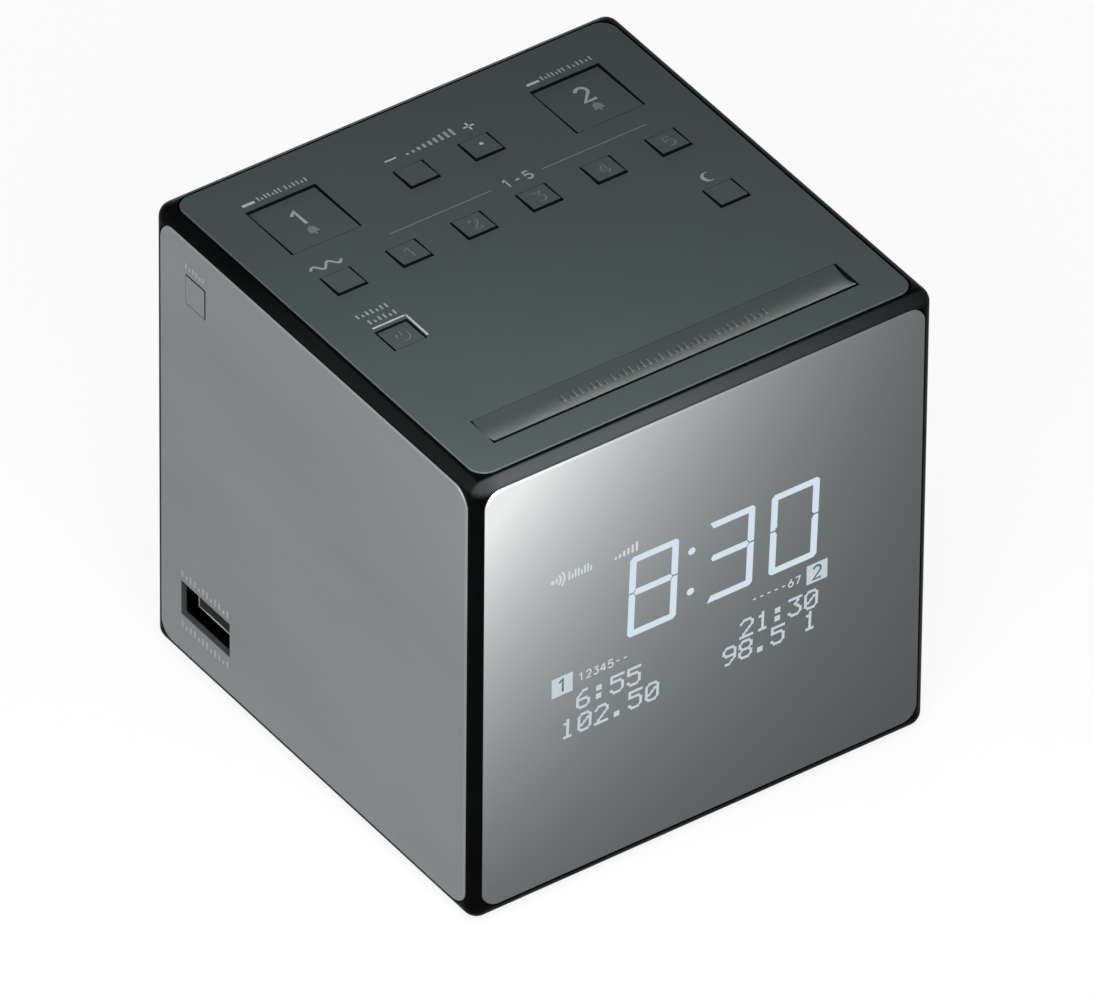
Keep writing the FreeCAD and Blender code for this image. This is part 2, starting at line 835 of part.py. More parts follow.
def base_cover():
    """Base plate with the main board's posts and the cell tray's rails standing on it."""
    plate = slab("z", shell_bottom, base_inside, base_outline, cover_radius)
    root = base_inside - panel_seat
    adds = [rod("z", root, main_board_under, x, y, main_post_radius) for x, y in main_post_places()]
    rail_front = rear_inside - tray_length + rail_front_inset
    rail_rear = rear_inside - rail_rear_inset
    for side in (-1, 1):
        guide = tray_x + side * (tray_width / 2 + tray_play)
        adds.append(box(guide, guide + side * rail_width, rail_front, rail_rear, root, tray_bottom + rail_overlap))
        rib = tray_x + side * rail_spacing
        adds.append(box(rib - rail_width / 2, rib + rail_width / 2, rail_front, rail_rear, root,
                        tray_bottom - tray_play))
    plate = joined(plate, adds)
    cuts = [pilot("z", main_board_top, -1, x, y) for x, y in main_post_places()]
    for x, y in corner_places():
        cuts += screw_clearance("z", shell_bottom + counterbore_depth, 1, x, y)
    for x in (-foot_x, foot_x):
        for y in (-foot_y, foot_y):
            cuts.append(rod("z", shell_bottom - overrun, shell_bottom + foot_recess, x, y, foot_radius + foot_seat))
    for index in range(vent_count):
        x = (index - (vent_count - 1) / 2) * vent_pitch
        cuts.append(slab("z", shell_bottom - overrun, base_inside + overrun,
                         centred(x, vent_y, vent_width, vent_length)))
    cuts.append(slab("z", shell_bottom - overrun, shell_bottom + label_recess,
                     centred(0, label_y, label_width, label_depth)))
    return plate.cut(cuts)


def rubber_feet():
    feet = []
    for x in (-foot_x, foot_x):
        for y in (-foot_y, foot_y):
            foot = rod("z", 0, shell_bottom + foot_recess - foot_seat, x, y, foot_radius)
            feet.append(foot.makeChamfer(foot_chamfer, edges_on(foot, "z", 0)))
    return group(feet)


# Display
def lcd_outline():
    return inset(display_board_outline, lcd_side_inset, lcd_end_inset)


def lcd_glass():
    return slab("y", display_front, display_front + lcd_thickness, lcd_outline())


def light_guide():
    """Clear plate behind the glass, a little shorter than it so that the diodes fit below."""
    outline = lcd_outline()
    return slab("y", guide_front, guide_front + guide_thickness,
                (outline[0], outline[1], outline[2] + guide_foot_gap, outline[3]))


def lcd_holder():
    inside = grown(lcd_outline(), holder_play)
    frame = slab("y", display_front, holder_back_face + holder_back, grown(inside, holder_wall), holder_wall)
    return frame.cut(slab("y", display_front - overrun, holder_back_face, inside))


def display_board():
    board = slab("y", display_board_face, display_board_back, display_board_outline)
    return board.cut([rod("y", display_board_face - overrun, display_board_back + overrun, x, z, screw_hole_radius)
                      for x, z in display_boss_places()])


# Key board and switches
def key_board():
    board = slab("z", key_board_under, key_board_face, key_board_outline)
    return board.cut([rod("z", key_board_under - overrun, key_board_face + overrun, x, y, screw_hole_radius)
                      for x, y in key_boss_places()])


def stem_foot():
    """Level of a stem's lower end above the board's face."""
    return switch_floor + stem_travel + stem_float


def switch_housings():
    """Housings of the switches under the top keys, and the lying one behind the side key."""
    made = []
    for key in top_keys:
        x, y = key["x"], key_press_y(key)
        housing = slab("z", key_board_face, key_board_face + switch_height, centred(x, y, switch_size, switch_size))
        made.append(housing.cut(rod("z", key_board_face + switch_floor, stem_top, x, y,
                                    stem_radius + stem_clearance)))
    y = side_key_hinge_y - side_key_arm
    mouth = side_stem_tip + side_stem_length
    housing = box(mouth, mouth + side_switch_depth, y - switch_size / 2, y + switch_size / 2,
                  side_key_z - side_switch_low, key_board_under)
    made.append(housing.cut(rod("x", side_stem_tip, mouth + switch_height - switch_floor, y, side_key_z,
                                stem_radius + stem_clearance)))
    return group(made)


def top_stem(key):
    return rod("z", key_board_face + stem_foot(), stem_top, key["x"], key_press_y(key), stem_radius)


def side_stem():
    mouth = side_stem_tip + side_stem_length
    end = mouth + switch_height - switch_floor - stem_travel - stem_float
    return rod("x", side_stem_tip, end, side_key_hinge_y - side_key_arm, side_key_z, stem_radius)


# Main board and what stands on it
def main_board():
    board = slab("z", main_board_under, main_board_top, main_board_outline)
    return board.cut([rod("z", main_board_under - overrun, main_board_top + overrun, x, y, screw_hole_radius)
                      for x, y in main_post_places()])


def tuner_can():
    """Shielding can of the tuner, with a stepped lid."""
    x, y = spot(main_board_outline, tuner_shares)
    width, depth, height = tuner_size
    can = slab("z", main_board_top, main_board_top + height - tuner_step, centred(x, y, width, depth))
    lid = slab("z", main_board_top + height - 2 * tuner_step, main_board_top + height,
               grown(centred(x, y, width, depth), -tuner_rim))
    return joined(can, [lid])


def board_chips():
    """Packages on the main board, the display driver, and the diodes that light the display."""
    made = []
    for shares, (width, depth, height) in zip(chip_shares, chip_sizes):
        x, y = spot(main_board_outline, shares)
        made.append(slab("z", main_board_top, main_board_top + height, centred(x, y, width, depth)))
    x, z = spot(display_board_outline, driver_shares)
    width, depth, height = driver_size
    made.append(slab("y", display_board_back, display_board_back + height, centred(x, z, width, depth)))
    left, right, low, _ = lcd_outline()
    level = low + guide_foot_gap / 2
    for index in range(led_count):
        middle = left + (index + 1) * (right - left) / (led_count + 1)
        made.append(slab("y", holder_back_face - led_depth, holder_back_face,
                         centred(middle, level, led_width, led_height)))
    return group(made)


def capacitors():
    """Round cans with a groove near the foot."""
    made = []
    for shares, (radius, height) in zip(capacitor_shares, capacitor_sizes):
        x, y = spot(main_board_outline, shares)
        can = rod("z", main_board_top, main_board_top + height, x, y, radius)
        groove = main_board_top + capacitor_groove_height
        ring = rod("z", groove, groove + capacitor_groove, x, y, radius + overrun)
        ring = ring.cut(rod("z", groove - overrun, groove + overrun, x, y, radius - capacitor_groove))
        made.append(can.cut(ring))
    return group(made)


# USB port
def usb_frame(by):
    return grown(centred(usb_y, usb_z, usb_width, usb_height), by)


def usb_shell():
    """Metal sleeve of the port, open to the left and closed at its end."""
    sleeve = slab("x", usb_mouth, usb_mouth + usb_length, usb_frame(0))
    return sleeve.cut(slab("x", usb_mouth - overrun, usb_mouth + usb_length - usb_wall, usb_frame(-usb_wall)))


def usb_tongue():
    """Plastic block at the end of the sleeve, with the tongue that carries the contacts."""
    end = usb_mouth + usb_length - usb_wall - usb_play
    base = slab("x", end - usb_block_depth, end, usb_frame(-usb_wall - usb_play))
    top = usb_z + usb_height / 2 - usb_wall - usb_tongue_drop
    tongue = box(usb_mouth + usb_tongue_setback, end, usb_y - usb_tongue_width / 2, usb_y + usb_tongue_width / 2,
                 top - usb_tongue_thickness, top)
    return joined(base, [tongue])


# Supply socket and aerial gland
def dc_jack():
    axis_z = main_board_top + jack_axis_height
    shoulder = rear_inside - jack_shoulder_gap
    mouth = rear_face - jack_collar_inset
    body = box(jack_x - jack_width / 2, jack_x + jack_width / 2, shoulder - jack_length, shoulder,
               main_board_top, main_board_top + jack_height)
    collar = rod("y", shoulder - panel_seat, mouth, jack_x, axis_z, jack_collar_radius)
    bore = rod("y", mouth + overrun, mouth - jack_bore_depth, jack_x, axis_z, jack_bore_radius)
    pin = rod("y", mouth - jack_pin_setback, mouth - jack_bore_depth - overrun, jack_x, axis_z, jack_pin_radius)
    return joined(joined(body, [collar]).cut(bore), [pin])


def antenna_gland():
    """Soft bush with a flange each side of the rear cover."""
    mouth = rear_face - gland_inset
    inner = rear_inside - panel_seat
    tail = inner - gland_flange - gland_tail
    parts = [
        rod("y", inner - gland_flange, mouth, gland_x, gland_z, gland_body_radius),
        rod("y", inner - gland_flange, inner, gland_x, gland_z, gland_flange_radius),
        rod("y", tail, inner, gland_x, gland_z, gland_tail_radius),
    ]
    flange = rod("y", mouth - gland_flange, mouth, gland_x, gland_z, gland_flange_radius)
    bush = joined(flange, parts)
    return bush.cut(rod("y", tail - overrun, mouth + overrun, gland_x, gland_z, gland_bore_radius))


# Loudspeaker
def speaker_frame():
    """Square flange with a round basket that is open between its legs."""
    back = flange_thickness
    low = basket_depth + flange_thickness
    top_radius = flange_hole_radius + basket_shoulder
    profile = [(flange_hole_radius, 0), (top_radius, 0), (top_radius, back), (basket_low_radius, low),
               (plate_hole_radius, low), (plate_hole_radius, low - basket_wall),
               (basket_low_radius - basket_wall, low - basket_wall), (flange_hole_radius, back)]
    basket = turned(profile, flange_face, speaker_z)
    windows = []
    margin = basket_window_margin
    for index in range(basket_windows):
        cutter = box(-basket_window_width / 2, basket_window_width / 2, flange_face - low + basket_wall + margin,
                     flange_face - back - margin, speaker_z + gap_outer_radius, speaker_z + speaker_half)
        cutter.rotate(FreeCAD.Vector(0, 0, speaker_z), FreeCAD.Vector(0, 1, 0), 360 * index / basket_windows)
        windows.append(cutter)
    basket = basket.cut(windows)
    outline = centred(0, speaker_z, 2 * speaker_half, 2 * speaker_half)
    flange = slab("y", flange_face - flange_thickness, flange_face, outline, speaker_corner)
    flange = flange.cut([rod("y", flange_face - flange_thickness - overrun, flange_face + overrun, 0, speaker_z,
                             flange_hole_radius)])
    frame = joined(flange, [basket])
    return frame.cut([rod("y", flange_face - flange_thickness - overrun, flange_face + overrun, x, z,
                          screw_hole_radius) for x, z in speaker_screw_places()])


def speaker_magnet():
    """Top plate, ring magnet, back plate and pole, with the round gap for the coil."""
    top = basket_depth + flange_thickness
    plate = top + top_plate_thickness
    end = plate + magnet_thickness
    back = end + back_plate_thickness
    profile = [(0, back), (top_plate_radius, back), (top_plate_radius, end), (magnet_radius, end),
               (magnet_radius, plate), (top_plate_radius, plate), (top_plate_radius, top),
               (gap_outer_radius, top), (gap_outer_radius, plate), (magnet_hole_radius, plate),
               (magnet_hole_radius, end), (pole_radius, end), (pole_radius, top + pole_setback),
               (0, top + pole_setback)]
    return turned(profile, flange_face, speaker_z)


def voice_coil():
    profile = [(coil_inner_radius, coil_low), (coil_outer_radius, coil_low), (coil_outer_radius, coil_high),
               (coil_inner_radius, coil_high)]
    return turned(profile, flange_face, speaker_z)


def speaker_cone():
    """Paper cone with a domed cap over its neck."""
    cap_foot = coil_high - panel_seat
    cap_edge = cone_neck_radius + cone_wall
    steps = 6
    dome = []
    for index in range(1, steps + 1):
        share = index / steps
        dome.append((cap_edge * math.cos(share * math.pi / 2), cap_rise * math.sin(share * math.pi / 2)))
    outer = [(radius if radius > same_plane else 0, cap_foot - cone_wall - rise) for radius, rise in dome]
    inner = [(radius, back + cone_wall) for radius, back in reversed(outer)]
    profile = [(cone_neck_radius, cone_neck), (cone_edge_radius, cone_edge), (cone_edge_radius, cone_edge - cone_wall),
               (cap_edge, cap_foot - cone_wall)] + outer + inner[:-1] + [(coil_inner_radius, cap_foot),
                                                                        (cone_neck_radius, cap_foot)]
    return turned(profile, flange_face, speaker_z)


def speaker_spider():
    """Waved cloth ring that centres the coil over the basket's floor."""
    foot = flange_thickness + basket_depth - basket_wall - spider_gap
    front = foot - spider_wave
    steps = 4 * spider_waves
    reach = spider_outer_radius - spider_foot
    waves = []
    for index in range(steps + 1):
        radius = reach - (reach - spider_inner_radius) * index / steps
        waves.append((radius, front - spider_wave * math.sin(2 * math.pi * index / 4)))
    near = [(spider_outer_radius, foot), (reach, foot)] + waves
    far = [(radius, back - spider_thickness) for radius, back in reversed(waves)]
    return turned(near + far + [(spider_outer_radius, front - spider_thickness)], flange_face, speaker_z)


def speaker_surround():
    """Rolled rubber ring between the cone's edge and the flange."""
    middle = (surround_inner_radius + surround_outer_radius) / 2
    half = (surround_outer_radius - surround_inner_radius) / 2
    foot = -surround_seat
    steps = 8
    outer = []
    inner = []
    for index in range(steps + 1):
        angle = math.pi * index / steps
        outer.append((middle - half * math.cos(angle), foot - surround_thickness - surround_rise * math.sin(angle)))
        inner.append((middle - half * math.cos(angle), foot - surround_rise * math.sin(angle)))
    lip = [(surround_outer_radius + surround_lip, foot - surround_thickness),
           (surround_outer_radius + surround_lip, foot)]
    skirt = [(surround_inner_radius, cone_edge), (surround_inner_radius - surround_seat, cone_edge),
             (surround_inner_radius - surround_seat, foot - surround_thickness)]
    return turned(outer + lip + inner[::-1][:-1] + skirt, flange_face, speaker_z)


# Cell tray
def cell_middle():
    """Middle of the backup cell on Y."""
    return rear_inside - tray_end_wall - cell_play - cell_radius


def battery_tray():
    outline = tray_outline(0)
    tray = slab("y", rear_inside - tray_length, rear_face - tray_end_wall, outline)
    bezel = slab("y", rear_inside + tray_play, rear_face, tray_bezel_outline(0))
    tray = joined(tray, [bezel])
    pocket = rod("z", tray_bottom + tray_floor, tray_bottom + tray_height + overrun, tray_x, cell_middle(),
                 cell_radius + cell_play)
    grip = box(tray_x - tray_grip_width / 2, tray_x + tray_grip_width / 2, rear_face - tray_grip_depth,
               rear_face + overrun, tray_bottom + (tray_height - tray_grip_height) / 2,
               tray_bottom + (tray_height + tray_grip_height) / 2)
    return tray.cut([pocket, grip])


def coin_cell():
    foot = tray_bottom + tray_floor + cell_seat
    can = rod("z", foot + cell_step, foot + cell_thickness, tray_x, cell_middle(), cell_radius)
    cap = rod("z", foot, foot + 2 * cell_step, tray_x, cell_middle(), cell_radius - 2 * cell_step)
    return joined(can, [cap])


def battery_contacts():
    """Two strips under the main board that brush the cell."""
    low = tray_bottom + tray_height + contact_gap
    made = []
    for side in (-1, 1):
        x = tray_x + side * contact_width
        strip = box(x - contact_width / 2, x + contact_width / 2, cell_middle() - contact_length / 2,
                    cell_middle() + contact_length / 2, low, low + contact_thickness)
        leg = box(x - contact_width / 2, x + contact_width / 2, cell_middle() - contact_length / 2,
                  cell_middle() - contact_length / 2 + contact_thickness, low, main_board_under)
        made.append(joined(strip, [leg]))
    return group(made)


# Flat cables
def ribbon(points, thickness):
    """Outline of a strip along a bent line: the line, and its copy moved sideways with mitred corners."""
    moved = []
    last = len(points) - 1
    for index, (u, v) in enumerate(points):
        before = points[max(index - 1, 0)]
        after = points[min(index + 1, last)]
        here = []
        for start, end in ((before, (u, v)), ((u, v), after)):
            length = math.hypot(end[0] - start[0], end[1] - start[1])
            if length > 0:
                here.append(((start[1] - end[1]) / length, (end[0] - start[0]) / length))
        normal = (sum(n[0] for n in here), sum(n[1] for n in here))
        stretch = thickness * len(here) / (normal[0] ** 2 + normal[1] ** 2)
        moved.append((u + normal[0] * stretch, v + normal[1] * stretch))
    return list(points) + moved[::-1]


def strip(axis, start, width, points):
    corners = [place(axis, start, u, v) for u, v in ribbon(points, cable_thickness)]
    face = Part.Face(Part.makePolygon(corners + corners[:1]))
    return face.extrude(place(axis, width, 0, 0))


def ribbon_cables():
    """Display to main board, key board to main board, and the loudspeaker's lead."""
    board_foot = display_board_outline[2]
    foot = main_board_top + cable_lift + cable_thickness
    back = display_board_back + cable_lift
    landing = back + display_cable_out
    display_path = [(back, board_foot + display_cable_hold), (back, board_foot - display_cable_hang),
                    (landing, foot), (landing + display_cable_foot, foot)]
    edge = key_board_half_width
    hold = key_board_under - cable_lift - cable_thickness
    out = edge + key_cable_out
    key_path = [(edge - key_cable_hold, hold), (edge, hold), (out, hold - key_cable_drop),
                (out, foot + key_cable_drop), (edge, foot), (edge - key_cable_foot, foot)]
    rear = flange_face - flange_thickness - cable_lift - cable_thickness
    low = speaker_z - speaker_half
    board_rear = main_board_outline[3]
    lead_path = [(rear, low + lead_top), (rear, low - lead_hang), (board_rear - lead_foot / 2, foot + lead_hang),
                 (board_rear - lead_foot, foot), (board_rear - 2 * lead_foot, foot)]
    return group([
        strip("x", display_cable_x - display_cable_width / 2, display_cable_width, display_path),
        strip("y", key_cable_y - key_cable_width / 2, key_cable_width, key_path),
        strip("x", lead_x - lead_width / 2, lead_width, lead_path),
    ])


def all_parts():
    """Every node's name and its shape."""
    parts = {
        "body_shell": body_shell(),
        "front_window": front_window(),
        "top_panel": top_panel(),
        "left_panel": left_panel(),
        "right_panel": right_panel(),
        "rear_cover": rear_cover(),
        "base_cover": base_cover(),
        "rubber_feet": rubber_feet(),
        "screws": screws(),
        "lcd_holder": lcd_holder(),
        "lcd_glass": lcd_glass(),
        "light_guide": light_guide(),
        "display_board": display_board(),
        "key_board": key_board(),
        "switch_housings": switch_housings(),
        "main_board": main_board(),
        "tuner_can": tuner_can(),
        "board_chips": board_chips(),
        "capacitors": capacitors(),
        "usb_shell": usb_shell(),
        "usb_tongue": usb_tongue(),
        "dc_jack": dc_jack(),
        "antenna_gland": antenna_gland(),
        "speaker_frame": speaker_frame(),
        "speaker_magnet": speaker_magnet(),
        "speaker_suspension": group([speaker_surround(), speaker_spider()]),
        "speaker_cone": speaker_cone(),
        "voice_coil": voice_coil(),
        "battery_tray": battery_tray(),
        "coin_cell": coin_cell(),
        "battery_contacts": battery_contacts(),
        "ribbon_cables": ribbon_cables(),
        "side_key": side_key(),
        "side_key_stem": side_stem(),
    }
    for key in top_keys:
        parts[key["name"]] = top_key(key)
        parts[key["name"] + "_stem"] = top_stem(key)
    return parts


os.makedirs("parts", exist_ok=True)
for name, shape in all_parts().items():
    shape.exportStep(f"parts/{name}.step")
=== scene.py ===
import json
import math

import bmesh
import bpy
from mathutils import Matrix, Vector
from mathutils.bvhtree import BVHTree


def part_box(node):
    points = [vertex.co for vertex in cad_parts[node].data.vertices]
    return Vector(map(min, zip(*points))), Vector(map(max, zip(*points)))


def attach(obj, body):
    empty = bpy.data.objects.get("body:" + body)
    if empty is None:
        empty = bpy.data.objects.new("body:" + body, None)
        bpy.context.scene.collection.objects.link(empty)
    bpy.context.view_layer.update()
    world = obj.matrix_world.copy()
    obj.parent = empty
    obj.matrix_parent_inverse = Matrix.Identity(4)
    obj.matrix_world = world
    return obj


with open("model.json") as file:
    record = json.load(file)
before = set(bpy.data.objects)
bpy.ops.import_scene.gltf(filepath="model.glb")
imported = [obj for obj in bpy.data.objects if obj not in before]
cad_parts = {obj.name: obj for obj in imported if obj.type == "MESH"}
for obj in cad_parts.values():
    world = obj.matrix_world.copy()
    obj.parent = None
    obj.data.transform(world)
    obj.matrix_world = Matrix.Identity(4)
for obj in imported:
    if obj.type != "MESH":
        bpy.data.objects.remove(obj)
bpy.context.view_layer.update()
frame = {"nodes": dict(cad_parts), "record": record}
scene = bpy.context.scene
mm = 0.001

# Camera: a long lens, at the photograph's angle
view_azimuth = math.radians(-35.5028)
view_elevation = math.radians(38.8168)
view_roll = 0.0097
lens_mm = 781.1
sensor_mm = 36.0
camera_distance = 4.2831
camera_reach = 100.0
aim_height = 0.0508
shift_right = 0.001032
shift_down = 0.006293

# Room: a white floor and a white surround, which light the object little and look bright
floor_half = 30.0
floor_white = 0.92
floor_glow = 0.9
room_level = 0.05
white = (1, 1, 1, 1)

# Lamps: place and target in metres, size in metres, radiance, and what each one lights
lamps = {
    "high_lamp": ((1.0, -0.30, 1.0), (0.0, 0.0, 0.05), (0.6, 0.6), 0.6, "all"),
    "near_lamp": ((-0.11, -0.17, 0.225), (-0.02, -0.04, 0.1), (0.12, 0.12), 13.5, "all"),
    "left_lamp": ((-0.9, 0.1, 0.35), (-0.05, 0.0, 0.05), (0.6, 0.5), 2.4, "all"),
    "floor_lamp": ((0.0, 0.0, 3.0), (0.0, 0.0, 0.0), (4.0, 4.0), 1.2, "floor"),
    "rear_lamp": ((0.5, 1.3, 0.16), (0.0, 0.05, 0.05), (0.7, 0.3), 6.0, "all"),
    "socket_lamp": ((-0.42, 0.51, 0.05), (-0.047, 0.034, 0.014), (0.3, 0.1), 30.0, "usb_shell"),
    "bar_lamp": ((0.27, 0.46, 0.30), (0.0, -0.037, 0.1), (0.34, 0.2), 3.4, "snooze_bar"),
}

# Noise of every surface: the span of it that is used, and its detail
noise_low = 0.3
noise_high = 0.7
patch_detail = 4.0
grain_detail = 2.0

# Painted reflection on the half mirror: how the brightness of its colour falls across the window, as
# powers of e
window_middle = 0.05
reflection_floor = 0.021
reflection_start = -1.67
reflection_across = -0.671
reflection_up = 0.697
reflection_both = -0.38
reflection_most = 0.86
# The painted reflection's tint, which is strongest where the reflection is darkest
reflection_tint = (0.905, 0.985, 1.0, 1)

# Painted highlight on the shell's top edges, in a satin grey: axis, start and end in millimetres, and the
# share of grey at each
front_highlight_fades = (
    ("Z", 98.3, 99.5, 0.0, 1.0),
    ("Y", -48.9, -48.5, 1.0, 0.0),
    ("X", -50.6, -44.5, 0.12, 1.0),
    ("X", -10.0, 48.0, 1.0, 0.15),
)
left_highlight_fades = (
    ("Z", 98.8, 99.4, 0.0, 1.0),
    ("X", -48.6, -48.2, 1.0, 0.0),
    ("Y", -4.0, 26.0, 0.1, 0.008),
)

# How much of its length a normal has along the face's axis, on walls and on bevels, and the share
# of its colour that a surface has there, as painted shade on walls and painted highlight on bevels
wall_slopes = (0.3, 0.5)
bevel_slopes = (0.75, 0.95)
slot_wall_painted_shade = 0.04
sleeve_wall_painted_shade = 0.45
top_bevel_painted_highlight = 1.45
side_bevel_painted_highlight = 1.3

# Lit marks: the share of their colour that they have without their own light
unlit_share = 0.1

# Marks stand this far off the skin that they are printed on, which a ray from above it finds
ink = 0.012
probe = 30.0

# Lines: how far a corner may reach, in half widths, the runs of a wave, and the height of every
# third stroke in a row
longest_mitre = 1.6
wave_steps = 24
short_stroke_share = 0.6

# Time on the window, in millimetres: figure, left and width of each digit, and the bars that it shows
digit_height = 18.2
digit_foot = 52.1
digit_stroke = 1.45
digit_slant = 0.03
middle_gap = 0.17
digit_places = (("8", -16.45, 10.7), ("3", 0.4, 10.6), ("0", 14.6, 10.6))
digit_bars = {"8": "abcdefg", "3": "abcdg", "0": "abcdef"}
colon_places = ((-2.94, 65.8), (-3.13, 56.6))
colon_radius = 0.8

# The digits' middle as a share of their height, and their cuts and tips as shares of the stroke
middle_share = 0.545
corner_share = 0.45
bar_tip_share = 0.8
bar_shoulder_share = 1.1
side_tip_share = 0.7
side_shoulder_share = 0.55

# Dotted lines on the window: text, left, foot and pitch
dot_pitch = 0.62
dot_size = 0.6
dot_join = 0.48
left_pitch = 3.7
right_pitch = 3.56
dotted_lines = (
    ("6:55", -27.7, 40.6, left_pitch),
    ("21:30", 8.2, 40.3, right_pitch),
    ("102.50", -30.9, 35.2, left_pitch),
    ("98.5 1", 4.6, 35.5, right_pitch),
)

# Small signs on the window
box_width = 4.6
box_height = 4.4
box_places = (("1", -33.4, 45.7), ("2", 22.6, 46.1))
box_figure_height = 2.9
bold = 0.17
day_height = 1.7
day_pitch = 1.6
day_rows = (("12345--", -22.1, 48.0), ("-----67", 15.9, 48.3))
signal_bars = {"left": -19.9, "right": -14.4, "foot": 71.5, "low": 0.6, "high": 2.1, "count": 6,
               "fill": 0.55}
radio_middle = (-33.4, 72.5)
radio_radii = (0.95, 1.75, 2.55)
radio_spread = 40
radio_stroke = 0.42
radio_dot = 0.45
radio_ticks = {"left": -29.8, "right": -25.0, "foot": 71.6, "height": 1.9, "count": 8, "width": 0.38}

# Columns of keys on the top
column_first = -35.4
column_pitch = 14.22
preset_count = 5
sleep_column = 5

# Alarm keys: figure and its middle
alarm_glyphs = (("1", -31.4, 31.4), ("2", 31.5, 31.9))
alarm_height = 4.2
alarm_weight = 0.16
alarm_bell = 2.7
alarm_bell_drop = 4.3

# Signs on the top, as left, right, low and high: two dashes, minus, plus, and the reset key's frame
top_strokes = (
    (-38.2, -35.5, 39.3, 39.95),
    (24.2, 26.9, 39.3, 39.95),
    (-9.7, -7.2, 35.6, 36.0),
    (7.6, 9.9, 35.7, 36.1),
    (8.55, 8.95, 34.75, 37.05),
    (-39.0, -31.8, -2.75, -2.35),
    (-32.05, -31.65, -9.5, -2.35),
)

# Rows of strokes in place of words, as left, right, foot and count
word_height = 1.2
alarm_words = (
    (-34.6, -29.9, 39.3, 7),
    (-28.6, -24.3, 39.3, 6),
    (27.7, 32.4, 39.3, 7),
    (33.7, 38.3, 39.3, 6),
)
reset_words = ((-39.4, -33.2, 1.1, 7), (-38.4, -33.0, -1.3, 6))
volume_bars = {"left": -5.2, "right": 6.3, "foot": 35.2, "low": 0.5, "high": 2.1, "count": 9,
               "fill": 0.45}

# The other marks on the top
range_height = 2.2
range_weight = 0.19
range_pitch = 2.3
range_place = (7.1, 18.2)
band_wave = {"length": 6.6, "height": 0.75, "width": 0.5}
band_wave_v = 17.3
sleep_moon = 2.7
sleep_moon_v = -0.6
rule_strokes = ((-20.98, 1.6, 18.03, 18.27), (12.6, 35.44, 18.03, 18.27))
preset_height = 2.9
preset_weight = 0.16
preset_v = 11.9
volume_dot_place = (7.69, 30.29)
volume_dot_radius = 0.42
power_radius = 1.25
power_stroke = 0.35
power_place = (-35.9, -7.1)
# Painted highlight under marks that look sunk: how far it is shifted right and forward, in millimetres
emboss_highlight_shift = 0.16

# Strokes on the snooze bar, as left, right and count
bar_words = ((-22.3, -13.3, 8), (-11.5, -1.1, 9), (0.7, 9.3, 8), (11.3, 21.7, 9))
bar_word_foot = -38.4
bar_word_height = 2.0
bar_word_width = 0.42

# Strokes on the left panel, over the key, and over and under the socket
side_words = (
    {"left": -39.6, "right": -34.2, "foot": 92.7, "height": 1.2, "count": 6, "width": 0.5},
    {"left": -41.0, "right": -26.6, "foot": 20.6, "height": 1.6, "count": 12, "width": 0.6},
    {"left": -41.0, "right": -26.6, "foot": 8.9, "height": 1.6, "count": 12, "width": 0.6},
)


def linear(value):
    """A screen value from 0 to 255 as a linear one from 0 to 1, by the sRGB curve."""
    value = value / 255
    return value / 12.92 if value <= 0.04045 else ((value + 0.055) / 1.055) ** 2.4


def shade(red, green, blue):
    """A colour given as it looks on a screen, from 0 to 255."""
    return (linear(red), linear(green), linear(blue), 1.0)


# Camera and light
def make_camera():
    back = Vector((math.sin(view_azimuth) * math.cos(view_elevation),
                   -math.cos(view_azimuth) * math.cos(view_elevation), math.sin(view_elevation)))
    level = (-back).cross(Vector((0, 0, 1))).normalized()
    above = level.cross(-back)
    turn = Matrix.Rotation(view_roll, 3, back)
    right = turn @ level
    up = turn @ above
    data = bpy.data.cameras.new("camera")
    data.lens = lens_mm
    data.sensor_width = sensor_mm
    data.clip_end = camera_reach
    camera = bpy.data.objects.new("camera", data)
    scene.collection.objects.link(camera)
    place = Vector((0, 0, aim_height)) + back * camera_distance + right * shift_right - up * shift_down
    turned = Matrix((right, up, back)).transposed().to_4x4()
    camera.matrix_world = Matrix.Translation(place) @ turned
    scene.camera = camera


def make_lamp(name, place, target, size, radiance, lights):
    """A soft rectangular lamp. One that lights a single node is seen only as a reflection in it."""
    data = bpy.data.lights.new(name, "AREA")
    data.shape = "RECTANGLE"
    data.size, data.size_y = size
    data.energy = math.pi * size[0] * size[1] * radiance
    lamp = bpy.data.objects.new(name, data)
    scene.collection.objects.link(lamp)
    lamp.location = place
    way = Vector(target) - Vector(place)
    lamp.rotation_mode = "QUATERNION"
    lamp.rotation_quaternion = way.to_track_quat("-Z", "Y")
    lamp.visible_camera = False
    if lights == "all":
        return
    group = bpy.data.collections.new(name + "_receivers")
    group.objects.link(bpy.data.objects["floor"] if lights == "floor" else frame["nodes"][lights])
    lamp.light_linking.receiver_collection = group
    lamp.visible_diffuse = lights == "floor"
    lamp.visible_glossy = lights != "floor"


def seen_rays(nodes, links):
    """One for a camera, glossy or transmission ray, else zero."""
    rays = nodes.new("ShaderNodeLightPath")
    first = nodes.new("ShaderNodeMath")
    first.operation = "MAXIMUM"
    second = nodes.new("ShaderNodeMath")
    second.operation = "MAXIMUM"
    links.new(rays.outputs["Is Camera Ray"], first.inputs[0])
    links.new(rays.outputs["Is Glossy Ray"], first.inputs[1])
    links.new(first.outputs[0], second.inputs[0])
    links.new(rays.outputs["Is Transmission Ray"], second.inputs[1])
    return second.outputs[0]


